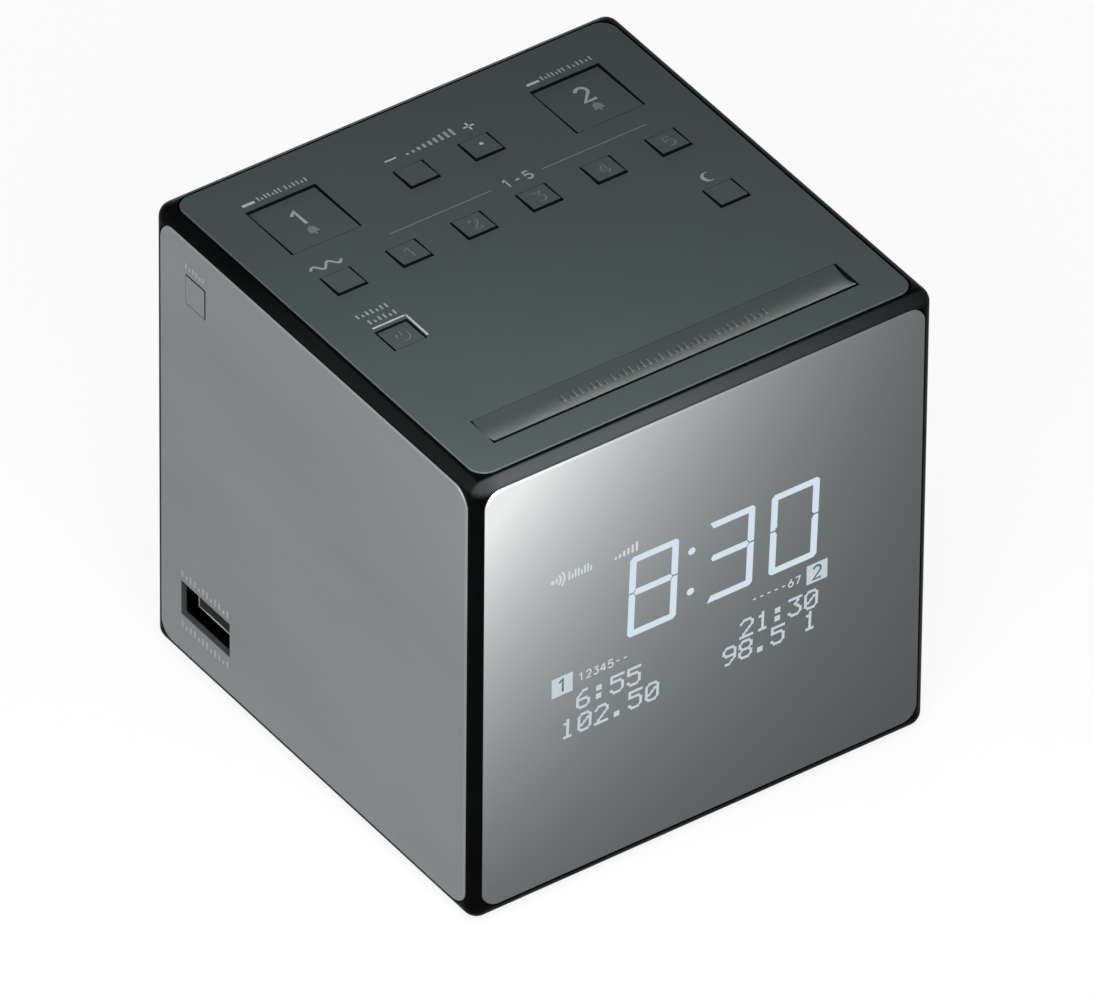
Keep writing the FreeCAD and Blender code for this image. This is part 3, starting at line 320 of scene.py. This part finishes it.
def make_surround():
    """The world is white where it is looked at, and gives only a little light."""
    world = bpy.data.worlds.new("room")
    scene.world = world
    world.use_nodes = True
    nodes, links = world.node_tree.nodes, world.node_tree.links
    nodes.clear()
    output = nodes.new("ShaderNodeOutputWorld")
    mix = nodes.new("ShaderNodeMixShader")
    links.new(seen_rays(nodes, links), mix.inputs[0])
    for socket, strength in ((mix.inputs[1], room_level), (mix.inputs[2], 1.0)):
        background = nodes.new("ShaderNodeBackground")
        background.inputs["Color"].default_value = white
        background.inputs["Strength"].default_value = strength
        links.new(background.outputs[0], socket)
    links.new(mix.outputs[0], output.inputs["Surface"])


def make_floor():
    """A white floor that glows where it is looked at, and still takes the object's shadow."""
    mesh = bpy.data.meshes.new("floor")
    mesh.from_pydata([(-floor_half, -floor_half, 0), (floor_half, -floor_half, 0),
                      (floor_half, floor_half, 0), (-floor_half, floor_half, 0)], [], [(0, 1, 2, 3)])
    floor = bpy.data.objects.new("floor", mesh)
    scene.collection.objects.link(floor)
    material = bpy.data.materials.new("floor_white")
    material.use_nodes = True
    nodes, links = material.node_tree.nodes, material.node_tree.links
    nodes.clear()
    output = nodes.new("ShaderNodeOutputMaterial")
    mix = nodes.new("ShaderNodeMixShader")
    matt = nodes.new("ShaderNodeBsdfDiffuse")
    matt.inputs["Color"].default_value = (floor_white, floor_white, floor_white, 1)
    glow = nodes.new("ShaderNodeEmission")
    glow.inputs["Strength"].default_value = 1.0
    share = nodes.new("ShaderNodeMath")
    share.operation = "MULTIPLY"
    share.inputs[1].default_value = floor_glow
    links.new(seen_rays(nodes, links), share.inputs[0])
    links.new(share.outputs[0], mix.inputs[0])
    links.new(matt.outputs[0], mix.inputs[1])
    links.new(glow.outputs[0], mix.inputs[2])
    links.new(mix.outputs[0], output.inputs["Surface"])
    mesh.materials.append(material)


# Materials
def map_range(nodes, from_low, from_high, to_low, to_high):
    """A node that maps one span to another, and holds the ends beyond it."""
    node = nodes.new("ShaderNodeMapRange")
    node.inputs["From Min"].default_value = from_low
    node.inputs["From Max"].default_value = from_high
    node.inputs["To Min"].default_value = to_low
    node.inputs["To Max"].default_value = to_high
    return node


def finish(name, colour, roughness, metallic=0.0, specular=0.5, tint=0.08, patch=45.0, grain=2500.0,
           depth=0.15, relief=0.00002, stretch=(1, 1, 1), rough_play=0.06):
    """A surface with uneven colour and gloss, and a fine grain, all in the object's own space."""
    material = bpy.data.materials.new(name)
    material.use_nodes = True
    nodes, links = material.node_tree.nodes, material.node_tree.links
    body = nodes["Principled BSDF"]
    body.inputs["Metallic"].default_value = metallic
    body.inputs["Specular IOR Level"].default_value = specular
    where = nodes.new("ShaderNodeTexCoord")
    scaled = nodes.new("ShaderNodeMapping")
    scaled.inputs["Scale"].default_value = stretch
    links.new(where.outputs["Object"], scaled.inputs["Vector"])
    patches = nodes.new("ShaderNodeTexNoise")
    patches.inputs["Scale"].default_value = patch
    patches.inputs["Detail"].default_value = patch_detail
    links.new(scaled.outputs[0], patches.inputs["Vector"])
    ramp = nodes.new("ShaderNodeValToRGB")
    dark, pale = ramp.color_ramp.elements
    dark.position = noise_low
    pale.position = noise_high
    dark.color = [c * (1 - tint) for c in colour[:3]] + [1.0]
    pale.color = [min(c * (1 + tint), 1.0) for c in colour[:3]] + [1.0]
    links.new(patches.outputs["Fac"], ramp.inputs["Fac"])
    links.new(ramp.outputs["Color"], body.inputs["Base Color"])
    gloss = map_range(nodes, noise_low, noise_high, roughness - rough_play, roughness + rough_play)
    links.new(patches.outputs["Fac"], gloss.inputs["Value"])
    links.new(gloss.outputs[0], body.inputs["Roughness"])
    fine = nodes.new("ShaderNodeTexNoise")
    fine.inputs["Scale"].default_value = grain
    fine.inputs["Detail"].default_value = grain_detail
    links.new(scaled.outputs[0], fine.inputs["Vector"])
    bump = nodes.new("ShaderNodeBump")
    bump.inputs["Strength"].default_value = depth
    bump.inputs["Distance"].default_value = relief
    links.new(fine.outputs["Fac"], bump.inputs["Height"])
    links.new(bump.outputs[0], body.inputs["Normal"])
    return material


def parts_of(nodes, links, kind):
    """The X, Y and Z of a texture coordinate, such as the object's own place or normal."""
    where = nodes.new("ShaderNodeTexCoord")
    parts = nodes.new("ShaderNodeSeparateXYZ")
    links.new(where.outputs[kind], parts.inputs[0])
    return parts.outputs


def colour_of(material):
    """A material's nodes and links, its colour socket, and what feeds that socket now."""
    nodes, links = material.node_tree.nodes, material.node_tree.links
    socket = nodes["Principled BSDF"].inputs["Base Color"]
    return nodes, links, socket, socket.links[0].from_socket


def by_slope(material, axis, walls, bevels):
    """Painted shade and highlight: scales the colour of walls, as in the key slots, and of bevels, by how
    they turn from the axis.
    """
    nodes, links, socket, colour = colour_of(material)
    size = nodes.new("ShaderNodeMath")
    size.operation = "ABSOLUTE"
    links.new(parts_of(nodes, links, "Normal")[axis], size.inputs[0])
    for (first, last), share in ((wall_slopes, walls), (bevel_slopes, bevels)):
        level = map_range(nodes, first, last, share, 1.0)
        links.new(size.outputs[0], level.inputs["Value"])
        scaled = nodes.new("ShaderNodeVectorMath")
        scaled.operation = "SCALE"
        links.new(colour, scaled.inputs[0])
        links.new(level.outputs[0], scaled.inputs["Scale"])
        colour = scaled.outputs[0]
    links.new(colour, socket)


def edge_trim(material, grey, fades):
    """Paints a highlight in a satin grey on one of the shell's top edges, fading out as the list says."""
    nodes, links, socket, inner = colour_of(material)
    places = parts_of(nodes, links, "Object")
    share = None
    for axis, start, end, first, last in fades:
        fade = map_range(nodes, start * mm, end * mm, first, last)
        links.new(places[axis], fade.inputs["Value"])
        if share is not None:
            product = nodes.new("ShaderNodeMath")
            product.operation = "MULTIPLY"
            links.new(share, product.inputs[0])
            links.new(fade.outputs[0], product.inputs[1])
            fade = product
        share = fade.outputs[0]
    mix = nodes.new("ShaderNodeMix")
    mix.data_type = "RGBA"
    links.new(share, mix.inputs["Factor"])
    links.new(inner, mix.inputs["A"])
    mix.inputs["B"].default_value = grey
    links.new(mix.outputs["Result"], socket)


def window_fade(material):
    """Painted reflection: the mirror's colour is brightest at its top left and darkest at its bottom
    right.
    """
    nodes, links, socket, inner = colour_of(material)

    def math_node(kind, first, second=None):
        node = nodes.new("ShaderNodeMath")
        node.operation = kind
        for entry, value in zip(node.inputs, (first, second)):
            if isinstance(value, (int, float)):
                entry.default_value = value
            elif value is not None:
                links.new(value, entry)
        return node.outputs[0]

    places = parts_of(nodes, links, "Object")
    across = math_node("DIVIDE", places["X"], window_middle)
    height = math_node("SUBTRACT", places["Z"], window_middle)
    high = math_node("DIVIDE", height, window_middle)
    power = math_node("ADD", math_node("MULTIPLY", across, reflection_across), reflection_start)
    power = math_node("ADD", power, math_node("MULTIPLY", high, reflection_up))
    both = math_node("MULTIPLY", across, high)
    power = math_node("ADD", power, math_node("MULTIPLY", both, reflection_both))
    level = math_node("ADD", math_node("EXPONENT", power), reflection_floor)
    level = math_node("MINIMUM", level, reflection_most)
    faded = nodes.new("ShaderNodeVectorMath")
    faded.operation = "SCALE"
    links.new(inner, faded.inputs[0])
    links.new(level, faded.inputs["Scale"])
    tint = nodes.new("ShaderNodeMix")
    tint.data_type = "RGBA"
    tint.inputs["A"].default_value = reflection_tint
    tint.inputs["B"].default_value = white
    links.new(level, tint.inputs["Factor"])
    tinted = nodes.new("ShaderNodeVectorMath")
    tinted.operation = "MULTIPLY"
    links.new(faded.outputs[0], tinted.inputs[0])
    links.new(tint.outputs["Result"], tinted.inputs[1])
    links.new(tinted.outputs[0], socket)


def lit(name, colour):
    """Pale marks of the display that give their own light."""
    dark = [unlit_share * value for value in colour[:3]] + [1.0]
    material = finish(name, dark, 0.4, specular=0.1, tint=0.1, patch=900.0, grain=6000.0, depth=0.05)
    body = material.node_tree.nodes["Principled BSDF"]
    body.inputs["Emission Color"].default_value = colour
    body.inputs["Emission Strength"].default_value = 1.0
    return material


def mark(name, colour, roughness=0.6, tint=0.06):
    """A printed mark."""
    return finish(name, colour, roughness, tint=tint, patch=700.0)


# One finish for each of the record's material slots
materials = {
    "black_shell": finish("shell_black", (0.001, 0.0012, 0.0014, 1), 0.34, specular=0.015, tint=0.3,
                          depth=0.12, grain=1800.0),
    "dark_panel": finish("panel_dark", shade(76, 86, 86), 0.55, specular=0.08, tint=0.05, patch=60.0,
                         grain=3600.0, depth=0.35),
    "grey_panel": finish("panel_grey", shade(121, 125, 126), 0.36, metallic=0.75, tint=0.12, patch=24.0,
                         stretch=(1, 0.4, 1.5), grain=2600.0, depth=0.12),
    "window": finish("window_mirror", (0.985, 0.985, 0.985, 1), 0.36, metallic=1.0, tint=0.012,
                     patch=22.0, grain=3000.0, depth=0.03, rough_play=0.02),
    "display_glass": finish("display_glass", shade(60, 66, 70), 0.12, tint=0.05, patch=300.0),
    "clear_plastic": finish("clear_plastic", shade(225, 228, 230), 0.2, tint=0.03, patch=200.0),
    "white_plastic": finish("white_plastic", shade(222, 222, 218), 0.5, tint=0.03, patch=120.0),
    "circuit_board": finish("circuit_board", shade(24, 96, 48), 0.45, tint=0.25, patch=400.0,
                            grain=1500.0),
    "switch_plastic": finish("switch_plastic", shade(40, 41, 42), 0.5, tint=0.1),
    "chip_plastic": finish("chip_plastic", shade(26, 27, 28), 0.55, tint=0.15, grain=4000.0, depth=0.3),
    "cable_plastic": finish("cable_plastic", shade(222, 218, 206), 0.45, tint=0.05, stretch=(8, 8, 1)),
    "rubber": finish("rubber_black", shade(30, 30, 31), 0.8, specular=0.3, tint=0.2, grain=2200.0,
                     depth=0.4),
    "steel": finish("steel_plated", (0.42, 0.42, 0.42, 1), 0.28, metallic=1.0, tint=0.08, patch=250.0,
                    stretch=(1, 6, 1)),
    "speaker_steel": finish("steel_black", shade(38, 38, 40), 0.4, tint=0.15, patch=120.0),
    "magnet": finish("magnet_grey", shade(58, 57, 56), 0.55, metallic=0.6, tint=0.2, patch=300.0,
                     depth=0.5),
    "can_aluminium": finish("can_aluminium", (0.66, 0.66, 0.67, 1), 0.3, metallic=1.0, tint=0.05,
                            stretch=(1, 1, 8)),
    "brass": finish("contact_brass", (0.62, 0.47, 0.2, 1), 0.3, metallic=1.0, tint=0.1, patch=300.0),
    "copper": finish("coil_copper", (0.6, 0.26, 0.14, 1), 0.35, metallic=1.0, tint=0.15,
                     stretch=(1, 30, 1)),
    "cone_paper": finish("cone_paper", shade(52, 50, 49), 0.85, specular=0.2, tint=0.2, patch=500.0,
                         grain=1500.0, depth=0.6, relief=0.00006),
}

# Nodes that look different from the others in their slot
# The snooze bar is a darker copy of the top panel's grey: painted shade
bar_painted_shade = finish("bar_painted_shade", shade(58, 67, 66), 0.48, specular=0.2, tint=0.05, patch=60.0,
                  grain=3600.0, depth=0.2)
cover_black = finish("cover_black", shade(44, 45, 47), 0.5, specular=0.3, tint=0.12, patch=70.0,
                     grain=1500.0, depth=0.5, relief=0.00005)
sleeve_steel = finish("sleeve_steel", (0.72, 0.73, 0.73, 1), 0.5, metallic=0.9, tint=0.06, patch=250.0)
cell_steel = finish("cell_steel", (0.7, 0.7, 0.69, 1), 0.36, metallic=0.5, tint=0.04, patch=180.0,
                    depth=0.02)
node_materials = {
    "snooze_bar": bar_painted_shade,
    "rear_cover": cover_black,
    "base_cover": cover_black,
    "battery_tray": cover_black,
    "usb_shell": sleeve_steel,
    "coin_cell": cell_steel,
}

# Painted reflection on the window
window_fade(materials["window"])
# Painted shade on the walls of slots and of the socket's sleeve, and painted highlight on bevels
by_slope(materials["dark_panel"], "Z", slot_wall_painted_shade, top_bevel_painted_highlight)
by_slope(materials["grey_panel"], "X", 1.0, side_bevel_painted_highlight)
by_slope(sleeve_steel, "X", sleeve_wall_painted_shade, 1.0)
by_slope(bar_painted_shade, "Z", slot_wall_painted_shade, 1.0)
# Painted highlight along the shell's left and front top edges
painted_highlight_grey = shade(75, 79, 80)
edge_trim(materials["black_shell"], painted_highlight_grey, left_highlight_fades)
edge_trim(materials["black_shell"], painted_highlight_grey, front_highlight_fades)

mark_white = mark("mark_white", shade(196, 203, 203))
mark_dim = mark("mark_dim", shade(158, 166, 166))
# mark_faint is print, and also the painted highlight beside marks that look sunk
mark_faint = mark("mark_faint", shade(108, 116, 116), 0.55)
# Painted shade in marks that look sunk
mark_painted_shade = mark("mark_painted_shade", shade(40, 46, 46), 0.55)
mark_side = mark("mark_side", shade(158, 163, 163), 0.5, 0.05)
mark_silver = mark("mark_silver", shade(168, 173, 173), 0.5, 0.05)
digit_blue = lit("digit_blue", shade(200, 215, 226))
digit_pale = lit("digit_pale", shade(186, 197, 204))
digit_dim = lit("digit_dim", shade(198, 204, 208))
box_figure = lit("box_figure", shade(88, 100, 110))


def dress_frame():
    slots = {row["node"]: row["material_slot"] for row in frame["record"]["subparts"]}
    for name, node in frame["nodes"].items():
        node.data.materials.clear()
        node.data.materials.append(node_materials.get(name, materials[slots[name]]))


# Flat shapes, as lists of corners in millimetres on a face of the case
def rect(left, right, low, high):
    return [(left, low), (right, low), (right, high), (left, high)]


def rects(limits):
    return [rect(*row) for row in limits]


def bar(start, end, width):
    """A straight stroke."""
    along = Vector(end) - Vector(start)
    side = Vector((-along.y, along.x)).normalized() * (width / 2)
    corners = (Vector(start) - side, Vector(end) - side, Vector(end) + side, Vector(start) + side)
    return [tuple(corner) for corner in corners]


def arc(middle, radius, first, last, steps):
    """Points along an arc, with angles in degrees."""
    points = []
    for index in range(steps + 1):
        angle = math.radians(first + (last - first) * index / steps)
        points.append((middle[0] + radius * math.cos(angle), middle[1] + radius * math.sin(angle)))
    return points


def disc(middle, radius):
    """A round of 24 corners."""
    return arc(middle, radius, 0, 345, 23)


def moved(shapes, across, up, scale=1.0):
    return [[(u * scale + across, v * scale + up) for u, v in shape] for shape in shapes]


def ticks(left, right, foot, height, count, width=0.36):
    """A row of small upright strokes, as on a scale, with every third one short."""
    shapes = []
    for index in range(count):
        u = left + (right - left) * index / (count - 1)
        top = foot + height * (short_stroke_share if index % 3 == 1 else 1)
        shapes.append(rect(u - width / 2, u + width / 2, foot, top))
    return shapes


def words(rows, height):
    """Rows of strokes of one height, each with its left, right, foot and count."""
    shapes = []
    for left, right, foot, count in rows:
        shapes += ticks(left, right, foot, height, count)
    return shapes


def rising_bars(left, right, foot, low, high, count, fill):
    """Bars that grow from left to right."""
    pitch = (right - left) / count
    shapes = []
    for index in range(count):
        u = left + pitch * index
        top = foot + low + (high - low) * index / (count - 1)
        shapes.append(rect(u, u + pitch * fill, foot, top))
    return shapes


def ribbon(points, width):
    """A bent line of one thickness with mitred corners, as one quad to each run."""
    edges = []
    for index, point in enumerate(points):
        ways = []
        for first, second in ((index - 1, index), (index, index + 1)):
            if 0 <= first and second < len(points):
                along = (Vector(points[second]) - Vector(points[first])).normalized()
                ways.append(Vector((-along.y, along.x)))
        middle = sum(ways, Vector((0, 0)))
        mitre = min(len(ways) / middle.length, longest_mitre)
        reach = middle.normalized() * (width / 2 * mitre)
        edges.append((Vector(point) - reach, Vector(point) + reach))
    quads = []
    for (a, b), (c, d) in zip(edges, edges[1:]):
        quads.append([tuple(a), tuple(c), tuple(d), tuple(b)])
    return quads


# Plain figures one unit high about zero, as bent lines
figure_lines = {
    "-": [[(-0.2, 0), (0.2, 0)]],
    "1": [[(-0.24, 0.27), (0.04, 0.5), (0.04, -0.5)]],
    "2": [arc((0, 0.22), 0.28, 165, -35, 10) + [(-0.29, -0.5), (0.31, -0.5)]],
    "3": [[(-0.27, 0.45), (0.25, 0.45), (-0.01, 0.12)] + arc((-0.01, -0.19), 0.3, 68, -150, 10)],
    "4": [[(-0.03, 0.42), (-0.31, -0.14), (-0.25, -0.21), (0.05, -0.21)], [(0.13, 0.5), (0.13, -0.5)],
          [(0.21, -0.21), (0.34, -0.21)]],
    "5": [[(0.27, 0.5), (-0.21, 0.5), (-0.26, 0.03)] + arc((0, -0.18), 0.31, 125, -150, 10)],
    "6": [arc((0.02, -0.2), 0.29, 130, -220, 16) + [(0.1, 0.5)]],
    "7": [[(-0.3, 0.46), (0.28, 0.46), (-0.1, -0.5)]],
}


def number(text, height, weight, pitch=0.0):
    """Plain figures in a row, centred on zero. The weight is a share of the height."""
    shapes = []
    for index, figure in enumerate(text):
        offset = (index - (len(text) - 1) / 2) * pitch
        for points in figure_lines[figure]:
            line = [(u * height + offset, v * height) for u, v in points]
            shapes += ribbon(line, weight * height)
    return shapes


def bell(size):
    """A bell of a dome, a clapper and a stem, about one unit high before it is scaled."""
    dome = arc((0, 0.1), 0.32, 0, 180, 14)
    rim = [(-0.42, -0.28), (0.42, -0.28)]
    clapper = disc((0, -0.4), 0.1)
    stem = rect(-0.05, 0.05, 0.43, 0.53)
    return moved([dome + rim, clapper, stem], 0, 0, size)


def moon(size):
    """A crescent with its inner edge held clear of its tips, one unit high before it is scaled."""
    tip = 0.43
    outer = arc((0, 0), 0.5, 60, 300, 28)
    inner = [(u, v) for u, v in arc((0.26, 0), 0.49, 298, 62, 24) if abs(v) < tip]
    return moved([outer + inner], 0, 0, size)


def power_sign(radius, width):
    """An open ring with a stroke in its gap."""
    low, high = 0.25, 1.3
    ring = arc((0, 0), radius, 125, 415, 26)
    return ribbon(ring, width) + [bar((0, radius * low), (0, radius * high), width)]


def wave(length, height, width):
    """Two periods of a sine."""
    points = []
    for step in range(wave_steps + 1):
        angle = 4 * math.pi * step / wave_steps
        points.append((length * (step / wave_steps - 0.5), height * math.sin(angle)))
    return ribbon(points, width)


def segment_digit(figure, left, width):
    """A figure of up to seven bars with mitred ends, leaning a little."""
    h, t = digit_height, digit_stroke
    cut = t * corner_share
    middle = h * middle_share
    tip, shoulder = t * bar_tip_share, t * bar_shoulder_share
    side_tip, side_shoulder = t * side_tip_share, t * side_shoulder_share
    top = [(cut, h), (width - cut, h), (width - t, h - t), (t, h - t)]
    low = [(t, t), (width - t, t), (width - cut, 0), (cut, 0)]
    centre = [(tip, middle), (shoulder, middle + t / 2), (width - shoulder, middle + t / 2),
              (width - tip, middle), (width - shoulder, middle - t / 2), (shoulder, middle - t / 2)]
    upper = [(0, middle + middle_gap), (side_tip, middle + middle_gap), (t, middle + side_shoulder),
             (t, h - t), (cut, h), (0, h - cut)]
    lower = [(0, cut), (cut, 0), (t, t), (t, middle - side_shoulder), (side_tip, middle - middle_gap),
             (0, middle - middle_gap)]
    bars = {"a": top, "d": low, "g": centre, "f": upper, "e": lower,
            "b": [(width - u, v) for u, v in reversed(upper)],
            "c": [(width - u, v) for u, v in reversed(lower)]}
    shapes = []
    for name in digit_bars[figure]:
        shapes.append([(left + u + digit_slant * (v - h), digit_foot + v) for u, v in bars[name]])
    return shapes


# Dotted figures, with their rows from the top
dotted_figures = {
    "0": ("01110", "10001", "10011", "10101", "11001", "10001", "01110"),
    "1": ("00100", "01100", "00100", "00100", "00100", "00100", "01110"),
    "2": ("01110", "10001", "00001", "00010", "00100", "01000", "11111"),
    "3": ("11111", "00010", "00100", "00010", "00001", "10001", "01110"),
    "5": ("11111", "10000", "11110", "00001", "00001", "10001", "01110"),
    "6": ("00110", "01000", "10000", "11110", "10001", "10001", "01110"),
    "8": ("01110", "10001", "10001", "01110", "10001", "10001", "01110"),
    "9": ("01110", "10001", "10001", "01111", "00001", "00010", "01100"),
    ":": ("00000", "01100", "01100", "00000", "01100", "01100", "00000"),
    ".": ("00000", "00000", "00000", "00000", "00000", "01100", "01100"),
    " ": ("00000",) * 7,
}


def dotted(rows, left, foot):
    """A figure made of square dots that touch, with its diagonal steps joined."""

    def has(row, column):
        return 0 <= row < len(rows) and 0 <= column < len(rows[row]) and rows[row][column] == "1"

    shapes = []
    for row in range(len(rows)):
        for column in range(len(rows[row])):
            if not has(row, column):
                continue
            low = foot + (len(rows) - 1 - row) * dot_pitch
            u = left + column * dot_pitch + digit_slant * (low - digit_foot)
            wide = dot_pitch if has(row, column + 1) else dot_size
            tall = dot_pitch if has(row - 1, column) else dot_size
            shapes.append(rect(u, u + wide, low, low + tall))
            centre = (u + dot_size / 2, low + dot_size / 2)
            for step in (-1, 1):
                joined = has(row, column + step) or has(row + 1, column)
                if has(row + 1, column + step) and not joined:
                    below = (centre[0] + step * dot_pitch, centre[1] - dot_pitch)
                    shapes.append(bar(centre, below, dot_join))
    return shapes


# Where a flat shape goes: its right, its up, and the way that the face looks
sides = {
    "top": (Vector((1, 0, 0)), Vector((0, 1, 0)), Vector((0, 0, 1))),
    "front": (Vector((1, 0, 0)), Vector((0, 0, 1)), Vector((0, -1, 0))),
    "left": (Vector((0, -1, 0)), Vector((0, 0, 1)), Vector((-1, 0, 0))),
}
body_of = {node: body for body, nodes in frame["record"]["behaviour"]["bodies"].items() for node in nodes}
surfaces = {}


def surface(node):
    """A finder for the skin of a node."""
    if node not in surfaces:
        mesh = frame["nodes"][node].data
        points = [vertex.co for vertex in mesh.vertices]
        surfaces[node] = BVHTree.FromPolygons(points, [polygon.vertices for polygon in mesh.polygons])
    return surfaces[node]


def printed(name, side, node, shapes, material, lift=ink):
    """Lays flat shapes on the skin of a node, as one piece that moves with it."""
    right, up, out = sides[side]
    skin = surface(node)
    low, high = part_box(node)
    default = max(low.dot(out), high.dot(out))
    mesh_maker = bmesh.new()
    for shape in shapes:
        corners = []
        for u, v in shape:
            flat = right * (u * mm) + up * (v * mm)
            hit = skin.ray_cast(flat + out * (default + probe * mm), -out)[0]
            level = hit.dot(out) if hit else default
            corners.append(mesh_maker.verts.new(flat + out * (level + lift * mm)))
        face = mesh_maker.faces.new(corners)
        face.normal_update()
        if face.normal.dot(out) < 0:
            face.normal_flip()
    mesh = bpy.data.meshes.new(name)
    mesh_maker.to_mesh(mesh)
    mesh_maker.free()
    mesh.materials.append(material)
    item = bpy.data.objects.new(name, mesh)
    scene.collection.objects.link(item)
    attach(item, body_of[node])


def on_window(name, shapes, material, lift=ink):
    printed(name, "front", "front_window", shapes, material, lift)


def on_top(name, shapes, material):
    printed(name, "top", "top_panel", shapes, material)


def embossed(name, node, shapes):
    """Flat marks on a key that look sunk: painted shade in them, over a painted highlight in a copy
    shifted right and forward.
    """
    printed(name + "_painted_highlight", "top", node, moved(shapes, emboss_highlight_shift, -emboss_highlight_shift), mark_faint)
    printed(name, "top", node, shapes, mark_painted_shade, 2 * ink)


def display_marks():
    shapes = []
    for figure, left, width in digit_places:
        shapes += segment_digit(figure, left, width)
    shapes += [disc(place, colon_radius) for place in colon_places]
    on_window("display_time", shapes, digit_blue)
    shapes = []
    for text, left, foot, pitch in dotted_lines:
        for index, character in enumerate(text):
            shapes += dotted(dotted_figures[character], left + index * pitch, foot)
    on_window("display_alarms", shapes, digit_pale)
    for text, left, low in box_places:
        box = rect(left, left + box_width, low, low + box_height)
        on_window(f"display_box_{text}", [box], digit_pale)
        figure = moved(number(text, box_figure_height, bold), left + box_width / 2, low + box_height / 2)
        on_window(f"display_box_{text}_figure", figure, box_figure, 2 * ink)
    shapes = []
    for text, u, v in day_rows:
        shapes += moved(number(text, day_height, bold, day_pitch), u, v)
    shapes += rising_bars(**signal_bars)
    for radius in radio_radii:
        shapes += ribbon(arc(radio_middle, radius, -radio_spread, radio_spread, 8), radio_stroke)
    shapes.append(disc(radio_middle, radio_dot))
    shapes += ticks(**radio_ticks)
    on_window("display_signs", shapes, digit_dim)


def column(index):
    return column_first + index * column_pitch


def top_marks():
    for text, u, v in alarm_glyphs:
        node = f"alarm_key_{text}"
        figure = moved(number(text, alarm_height, alarm_weight), u, v)
        printed(node + "_figure", "top", node, figure, mark_silver)
        printed(node + "_bell", "top", node, moved(bell(alarm_bell), u, v - alarm_bell_drop), mark_faint)
    on_top("top_signs", rects(top_strokes), mark_white)
    shapes = words(alarm_words, word_height)
    shapes += rising_bars(**volume_bars)
    shapes += moved(number("1-5", range_height, range_weight, range_pitch), *range_place)
    shapes += moved(wave(**band_wave), column(0), band_wave_v)
    shapes += moved(moon(sleep_moon), column(sleep_column), sleep_moon_v)
    shapes += words(reset_words, word_height)
    on_top("top_prints", shapes, mark_dim)
    on_top("top_rule", rects(rule_strokes), mark_faint)
    for index in range(1, preset_count + 1):
        node = f"preset_key_{index}"
        figure = number(str(index), preset_height, preset_weight)
        embossed(node + "_figure", node, moved(figure, column(index), preset_v))
    dot = disc(volume_dot_place, volume_dot_radius)
    printed("volume_up_key_dot", "top", "volume_up_key", [dot], mark_white)
    sign = moved(power_sign(power_radius, power_stroke), *power_place)
    embossed("alarm_reset_key_sign", "alarm_reset_key", sign)
    shapes = []
    for left, right, count in bar_words:
        shapes += ticks(left, right, bar_word_foot, bar_word_height, count, bar_word_width)
    embossed("snooze_bar_ticks", "snooze_bar", shapes)


def left_marks():
    shapes = []
    for row in side_words:
        shapes += ticks(**row)
    printed("side_prints", "left", "left_panel", shapes, mark_side)


make_camera()
make_surround()
make_floor()
for lamp_name, settings in lamps.items():
    make_lamp(lamp_name, *settings)
dress_frame()
display_marks()
top_marks()
left_marks()

scene.view_settings.view_transform = "Standard"
